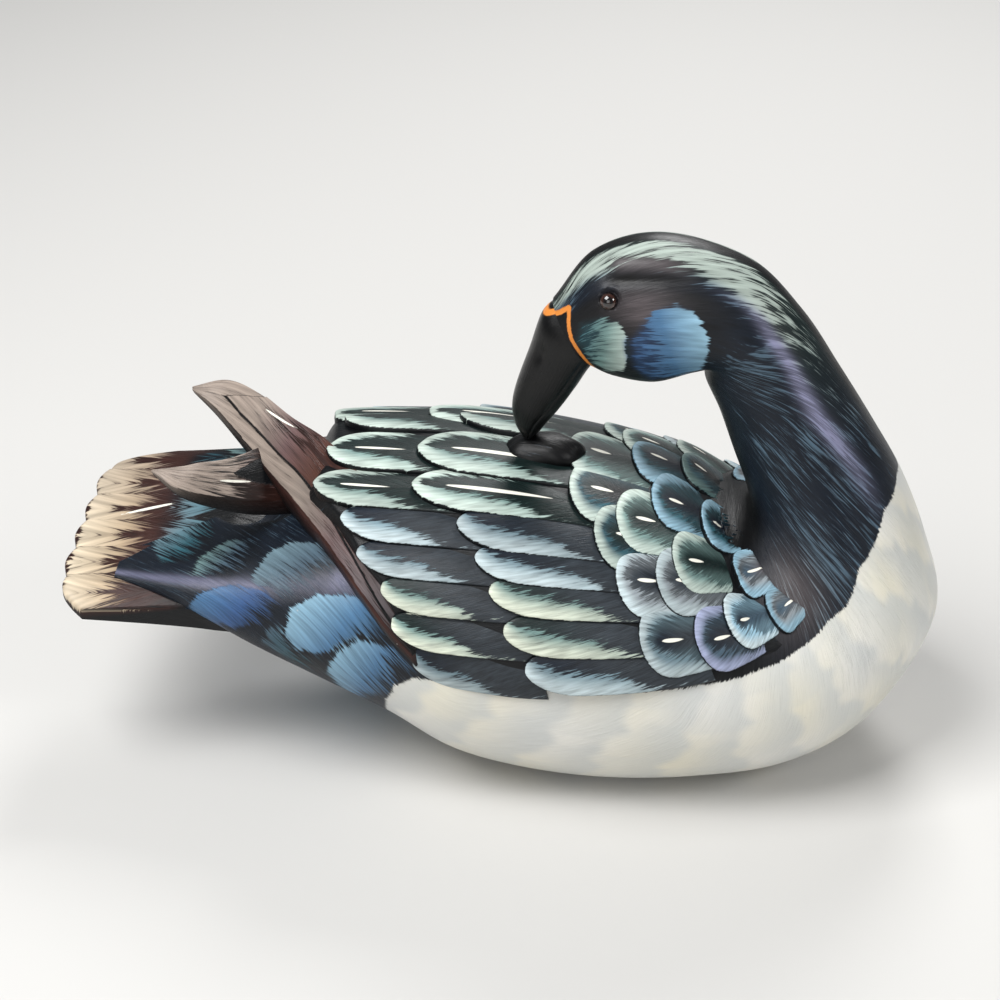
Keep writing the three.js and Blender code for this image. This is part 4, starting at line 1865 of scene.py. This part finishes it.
@dataclass
class TailFan:
    """The tail, its feathers side by side, each a step under the next.

    Attributes:
        root: X of its root in the body.
        hump: X of the swelling over the rump.
        end: X of its trailing edge.
        feathers: How many feathers it has.
        quill: Start and end from the hump, place across and lean of its white shaft.
    """

    root: float = -150
    hump: float = -178
    end: float = -248
    feathers: int = 6
    quill: tuple[float, float, float, float] = (0.42, 0.8, 0.13, -0.13)

    def surface(self) -> tuple[Floats, Floats, Floats, Floats]:
        """Works out the fan as a closed shell.

        Each section runs from root to trailing edge under the fan and back over it. The top tilts,
        droops at both sides, swells over the rump and steps from feather to feather.

        Returns:
            The points, the place across from -1 to 1, the place within a feather from 0 to 1 and the
            place from the hump to the end.
        """
        parts = np.concatenate([[0.03, 0.06, 0.1], np.linspace(0.16, 0.84, 12), [0.9, 0.94, 0.97]])
        index, part = grid_of(np.arange(self.feathers), parts)
        across = ((index + part) / self.feathers * 2 - 1).ravel()
        part = part.ravel()
        side = np.abs(across)
        outer = np.maximum(0, (side - 0.6) / 0.4) ** 2.2
        corner = np.where(across > 0, 30, 11) * outer
        end = self.end + corner + 3 * np.maximum(0, across) - 3 * np.sin(math.pi * part)
        below = np.linspace(0, 1, 16)
        above = np.concatenate([[1.0], np.linspace(0.995, 0, 60)])
        share = np.concatenate([below, above])
        is_under = np.arange(len(share)) < len(below)
        x = self.root + (end[:, None] - self.root) * share
        across, part = (np.broadcast_to(value[:, None], x.shape) for value in (across, part))
        run = (self.hump - x) / (self.hump - self.end)
        behind = np.maximum(0, run)
        swell = np.where(run < 0, 1 + 3.5 * run, np.maximum(0, 1 - run) ** 1.25)
        droop = 4 * np.maximum(0, (np.abs(across) - 0.62) / 0.38) ** 2
        y = across * (49 + 9 * behind)
        top = 91.5 + 6 * (1 + across) * swell + 0.15 * y - droop + 1.6 * (part - 0.5) * behind
        top = top + 0.5 * np.sin(math.pi * part) * behind
        thickness = 15 + (4 - 15) * behind**0.8
        lip = np.maximum(0, (share - 0.985) / 0.015)
        z = np.where(is_under, top - thickness, top - 0.9 * lip**2)
        return np.stack([x, y, z], axis=-1), across, part, np.where(is_under, -9.0, run)

    def coat(self, points: Floats, across: Floats, part: Floats, run: Floats) -> Coat:
        """Paints the fan: straw at the trailing edge, brown further in, and near-black at the root as painted shadow
        of the wing blades.

        Args:
            points: Its points.
            across: Place across the fan.
            part: Place within a feather.
            run: Place from the hump to the end, far below 0 underneath.

        Returns:
            The coat.
        """
        coat = Coat.blank(run.shape, Pot.BARK)
        hidden = run < -1
        centre = np.abs(part - 0.42) * 19
        fan = 0.55 * (points[..., 0] - self.end)
        coat.strokes = np.stack([centre + fan * 0.55, points[..., 0], np.floor((across + 1) * 3) + 3], axis=-1)
        # Painted shadow: towards the root, under the wing blades, the strokes, their ground and their cover all go
        # dark.
        stops = (0.0, 0.3, 0.5, 0.72, 1.0)
        pots = (Pot.NIGHT, Pot.MAROON, Pot.RUST, Pot.TAN, Pot.STRAW)
        colours = np.array([pot.light for pot in pots])
        coat.over = np.stack([np.interp(run, stops, colours[:, i]) for i in range(3)], axis=-1)
        coat.over = blend(coat.over, Pot.TAUPE.light, 0.5 * ease(across, -0.4, 0.9))
        coat.under = blend(Pot.NIGHT.light, Pot.MAROON.light, ease(run, 0.15, 0.5))
        edge = np.minimum(part, 1 - part) * 19
        coat.cover = 0.1 + 0.72 * ease(run, 0.3, 0.9) - 0.35 * np.exp(-((centre / 3.0) ** 2)) * (1 - ease(run, 0.7, 1))
        coat.cover = coat.cover - 0.25 * ease(-edge, -3, 0) - 0.5 * ease(run, 0.985, 1.03)
        coat.ink = np.where(run > 0.35, edge, 20.0)
        for patch in RUMP_PATCHES:
            patch.lay(coat, points, np.where(hidden, 0.0, 1.0) * (1 - ease(run, 0.3, 0.6)))
        coat.cover = np.where(hidden, 0.1, coat.cover)
        coat.under = np.where(hidden[..., None], Pot.NIGHT.light, coat.under)
        coat.ink = np.where(hidden, 20.0, coat.ink)
        start, end, middle, slant = self.quill
        along = np.clip((run - start) / (end - start), 0, 1)
        taper = 0.95 * np.sin(math.pi * along**0.8) ** 0.6
        place = np.abs(across - middle - slant * (along - 0.5)) * 56
        coat.quill = np.where((along <= 0) | (along >= 1) | hidden, -1.0, taper - place)
        return coat

    def build(self, finish: bpy.types.Material) -> bpy.types.Object:
        """Makes the piece.

        Args:
            finish: Its material.

        Returns:
            The piece.
        """
        points, across, part, run = self.surface()
        builder = PieceBuilder("tail_fan")
        grid, coat = closed_ends(points, self.coat(points, across, part, run))
        builder.add(grid, coat)
        return builder.build(finish, "painted_wood")


# Bill, contact knot and eyes


@dataclass
class Head:
    """What is set on the head: the bill, the knot of feathers it rests on and the eyes.

    Attributes:
        eye_centre: Middle of the right eye ball.
        eye_radius: Its radius.
        outward: Where the right eye looks.
    """

    eye_centre: tuple[float, float, float]
    eye_radius: float = 4.0
    outward: tuple[float, float, float] = (-0.1, -0.93, 0.36)

    def build_bill(self, body: CarvedBody, finish: bpy.types.Material) -> bpy.types.Object:
        """Makes the bill, with the parting of its halves and the nostrils sunk along the normal.

        Args:
            body: The carved body, whose painted line runs on over the bill.
            finish: Its material.

        Returns:
            The piece.
        """
        station, angle = grid_of(np.linspace(0, BILL.last, 150), np.linspace(0, 2 * math.pi, 144, endpoint=False))
        degrees = np.abs(np.degrees(np.arctan2(np.sin(angle), np.cos(angle))))
        parting = np.interp(station, (0, 2, 4, 6), (50, 58, 70, 80))
        mouth = np.exp(-(((degrees - parting) / 4.5) ** 2)) * ease(station, 0.4, 1.2)
        nostril = np.exp(-(((station - 1.7) / 0.26) ** 2) - ((degrees - 126) / 10) ** 2)
        height = -0.5 * mouth - 0.9 * nostril
        points = BILL.point(station, angle) + BILL.normal(station, angle) * height[..., None]
        coat = Coat.blank(station.shape, Pot.SOOT)
        coat.strokes = np.stack([degrees * 0.25, station * 12, station * 0], axis=-1)
        coat.over = np.broadcast_to(Pot.IRON.light, points.shape).copy()
        coat.cover = 0.06 + 0.2 * mouth + 0.15 * nostril
        body.paint_bill_line(coat, points, np.ones_like(station))
        builder = PieceBuilder("bill")
        builder.add(*closed_ends(points, coat))
        return builder.build(finish, "painted_wood")

    def build_knot(self, finish: bpy.types.Material) -> bpy.types.Object:
        """Makes the low knot of back feathers: a flat ball with a few soft ridges.

        Args:
            finish: Its material.

        Returns:
            The piece.
        """
        rise, turn = grid_of(np.linspace(-0.5, 0.5, 60) * math.pi, np.linspace(0, 2 * math.pi, 90, endpoint=False))
        ripple = 1 + 0.05 * np.sin(turn * 5 + 2 * rise) * np.cos(rise) ** 2
        ball = np.stack([np.cos(rise) * np.cos(turn), np.cos(rise) * np.sin(turn), np.sin(rise)], axis=-1)
        points = ball * ripple[..., None] * np.array([18.0, 11.5, 9.2]) + np.array([-35, 0, 137.5])
        coat = Coat.blank(rise.shape, Pot.SOOT)
        coat.over = np.broadcast_to(Pot.IRON.light, points.shape).copy()
        coat.cover = np.full(rise.shape, 0.16)
        coat.strokes = np.stack([points[..., 1] + 0.2 * points[..., 0], points[..., 0], rise * 0 + 9], axis=-1)
        builder = PieceBuilder("contact_knot")
        builder.add(points, coat, flipped=False)
        return builder.build(finish, "painted_wood")

    def build_eye(self, name: str, side: int, finish: bpy.types.Material) -> bpy.types.Object:
        """Makes a glass eye: a ball whose rings of latitude centre on where it looks.

        Args:
            name: The piece's name.
            side: -1 for the bird's right, 1 for its left.
            finish: Its material.

        Returns:
            The piece.
        """
        polar, turn = grid_of(np.linspace(0, math.pi, 65), np.linspace(0, 2 * math.pi, 72, endpoint=False))
        axis = np.array(self.outward) * np.array([1, -side, 1])
        axis = axis / np.linalg.norm(axis)
        first = np.cross(axis, [0, 0, 1.0])
        first = first / np.linalg.norm(first)
        second = np.cross(axis, first)
        ring = np.cos(turn)[..., None] * first + np.sin(turn)[..., None] * second
        ball = np.cos(polar)[..., None] * axis + np.sin(polar)[..., None] * ring
        centre = np.array(self.eye_centre) * np.array([1, -side, 1])
        points = centre + ball * self.eye_radius
        degrees = np.degrees(polar)
        coat = Coat.blank(polar.shape, Pot.SOOT)
        iris = ease(degrees, 30, 38) * (1 - ease(degrees, 50, 58))
        coat.under = blend(Pot.SOOT.light, Pot.RUST.light * 0.5, iris)
        builder = PieceBuilder(name)
        builder.add(points, coat)
        return builder.build(finish, "eye_glass")


@dataclass(frozen=True)
class EyeGlass:
    """Glass over a painted iris.

    Attributes:
        name: The material's name.
        roughness: Its polish.
    """

    name: str = "eye_glass"
    roughness: float = 0.06

    def material(self) -> bpy.types.Material:
        """Builds the material: the painted back shows through a clear coat.

        Returns:
            The material.
        """
        made = bpy.data.materials.new(self.name)
        made.use_nodes = True
        made.node_tree.nodes.clear()
        wiring = Wiring(made.node_tree)
        output = wiring.node("ShaderNodeOutputMaterial")
        shader = wiring.node("ShaderNodeBsdfPrincipled")
        wiring.feed(output.inputs["Surface"], shader.outputs[0])
        place = wiring.node("ShaderNodeTexCoord").outputs["Object"]
        flecks = wiring.noise(place, 900.0, 2.0)
        share = wiring.span(flecks, 0.4, 0.7, 0.0, 0.35)
        colour = wiring.mix(share, wiring.attribute("under").outputs["Color"], (0.05, 0.02, 0.012, 1.0))
        wiring.feed(shader.inputs["Base Color"], colour)
        shader.inputs["Roughness"].default_value = self.roughness
        shader.inputs["Coat Weight"].default_value = 1.0
        shader.inputs["Coat Roughness"].default_value = 0.02
        return made


# Studio


@dataclass(frozen=True)
class Studio:
    """Camera, floor and lights.

    Attributes:
        target: What the camera looks at, in millimetres.
        distance: How far it stands.
        azimuth: Degrees round from the side.
        elevation: Degrees up.
        lens: Focal length in millimetres on a sensor 36 mm wide.
    """

    target: tuple[float, float, float] = (-55, 0, 112)
    distance: float = 1050
    azimuth: float = 5
    elevation: float = 30
    lens: float = 83.18

    def camera(self) -> None:
        """Sets the camera at the photograph's angle."""
        a, e = math.radians(self.azimuth), math.radians(self.elevation)
        back = Vector((math.sin(a) * math.cos(e), -math.cos(a) * math.cos(e), math.sin(e)))
        data = bpy.data.cameras.new("camera")
        data.lens = self.lens
        data.sensor_width = 36
        made = bpy.data.objects.new("camera", data)
        made.location = (Vector(self.target) + back * self.distance) * MM
        made.rotation_euler = (-back).to_track_quat("-Z", "Y").to_euler()
        bpy.context.scene.collection.objects.link(made)
        bpy.context.scene.camera = made

    def floor(self) -> None:
        """Lays the plain pale floor."""
        mesh = bpy.data.meshes.new("floor")
        mesh.from_pydata([(-4, -4, 0), (4, -4, 0), (4, 4, 0), (-4, 4, 0)], [], [(0, 1, 2, 3)])
        made = bpy.data.objects.new("floor", mesh)
        bpy.context.scene.collection.objects.link(made)
        material = bpy.data.materials.new("pale_floor")
        material.use_nodes = True
        shader = material.node_tree.nodes["Principled BSDF"]
        shader.inputs["Base Color"].default_value = (0.62, 0.61, 0.59, 1)
        shader.inputs["Roughness"].default_value = 0.7
        mesh.materials.append(material)

    def light(self, name: str, place: tuple[float, float, float], size: float, power: float) -> None:
        """Hangs a soft square light that faces the goose.

        Args:
            name: Its name.
            place: Where it hangs, in metres.
            size: Its side in metres.
            power: Its power in watts.
        """
        data = bpy.data.lights.new(name, "AREA")
        data.shape = "SQUARE"
        data.size = size
        data.energy = power
        made = bpy.data.objects.new(name, data)
        made.location = place
        made.rotation_euler = (Vector((-0.03, 0, 0.1)) - Vector(place)).to_track_quat("-Z", "Y").to_euler()
        bpy.context.scene.collection.objects.link(made)

    def build(self) -> None:
        """Sets up the whole studio."""
        self.camera()
        self.floor()
        self.light("key", (-0.7, -0.5, 1.5), 1.0, 30)
        self.light("side", (1.4, -0.5, 1.1), 0.5, 9)
        self.light("back", (0.2, 1.3, 1.3), 0.6, 16)
        self.light("front", (-0.2, -1.6, 0.8), 1.0, 6)
        world = bpy.data.worlds.new("soft_sky")
        world.use_nodes = True
        world.node_tree.nodes["Background"].inputs["Color"].default_value = (0.9, 0.95, 1.0, 1)
        world.node_tree.nodes["Background"].inputs["Strength"].default_value = 0.16
        bpy.context.scene.world = world
        bpy.context.scene.view_settings.view_transform = "Standard"


def main() -> None:
    """Builds the goose piece by piece and reports each."""
    logging.basicConfig(level=logging.INFO, format="%(message)s")
    brush_strokes()
    paint_layers()
    handled_varnish()
    plumage = Brushwork("painted_plumage").material()
    hull = Brushwork(
        "painted_body", fineness=1.5, length=11, bite=0.8, line=Pot.ORANGE, line_width=0.85, satin=0.42, coat=0.1
    ).material()
    blades = Brushwork("painted_blades", fineness=1.6, length=14, bite=0.7, line_width=0.45).material()
    tail_finish = Brushwork("painted_tail", fineness=1.4, length=16, bite=0.8, line_width=0.55).material()
    horn = Brushwork("black_bill", line=Pot.ORANGE, line_width=0.85, length=9, satin=0.33, coat=0.12, depth=0.3).material()

    body = CarvedBody()
    low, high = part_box("eye_right")
    eye_centre = tuple((low[i] + high[i]) / 2 / MM for i in range(3))
    head = Head(eye_centre=eye_centre)
    wings = FoldedWings()
    carved = body.build(hull)
    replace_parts(carved, "carved_goose")
    wings.build_shawl(plumage)
    wings.build_wing("right_wing", -90, False, plumage)
    wings.build_wing("left_wing", 20, True, plumage)
    RIGHT_BLADE.build(blades)
    LEFT_BLADE.build(blades)
    TailFan().build(tail_finish)
    head.build_bill(body, horn)
    head.build_knot(plumage)
    glass = EyeGlass().material()
    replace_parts(head.build_eye("right_eye_ball", -1, glass), "eye_right")
    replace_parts(head.build_eye("left_eye_ball", 1, glass), "eye_left")
    Studio().build()


if __name__ == "__main__":
    main()
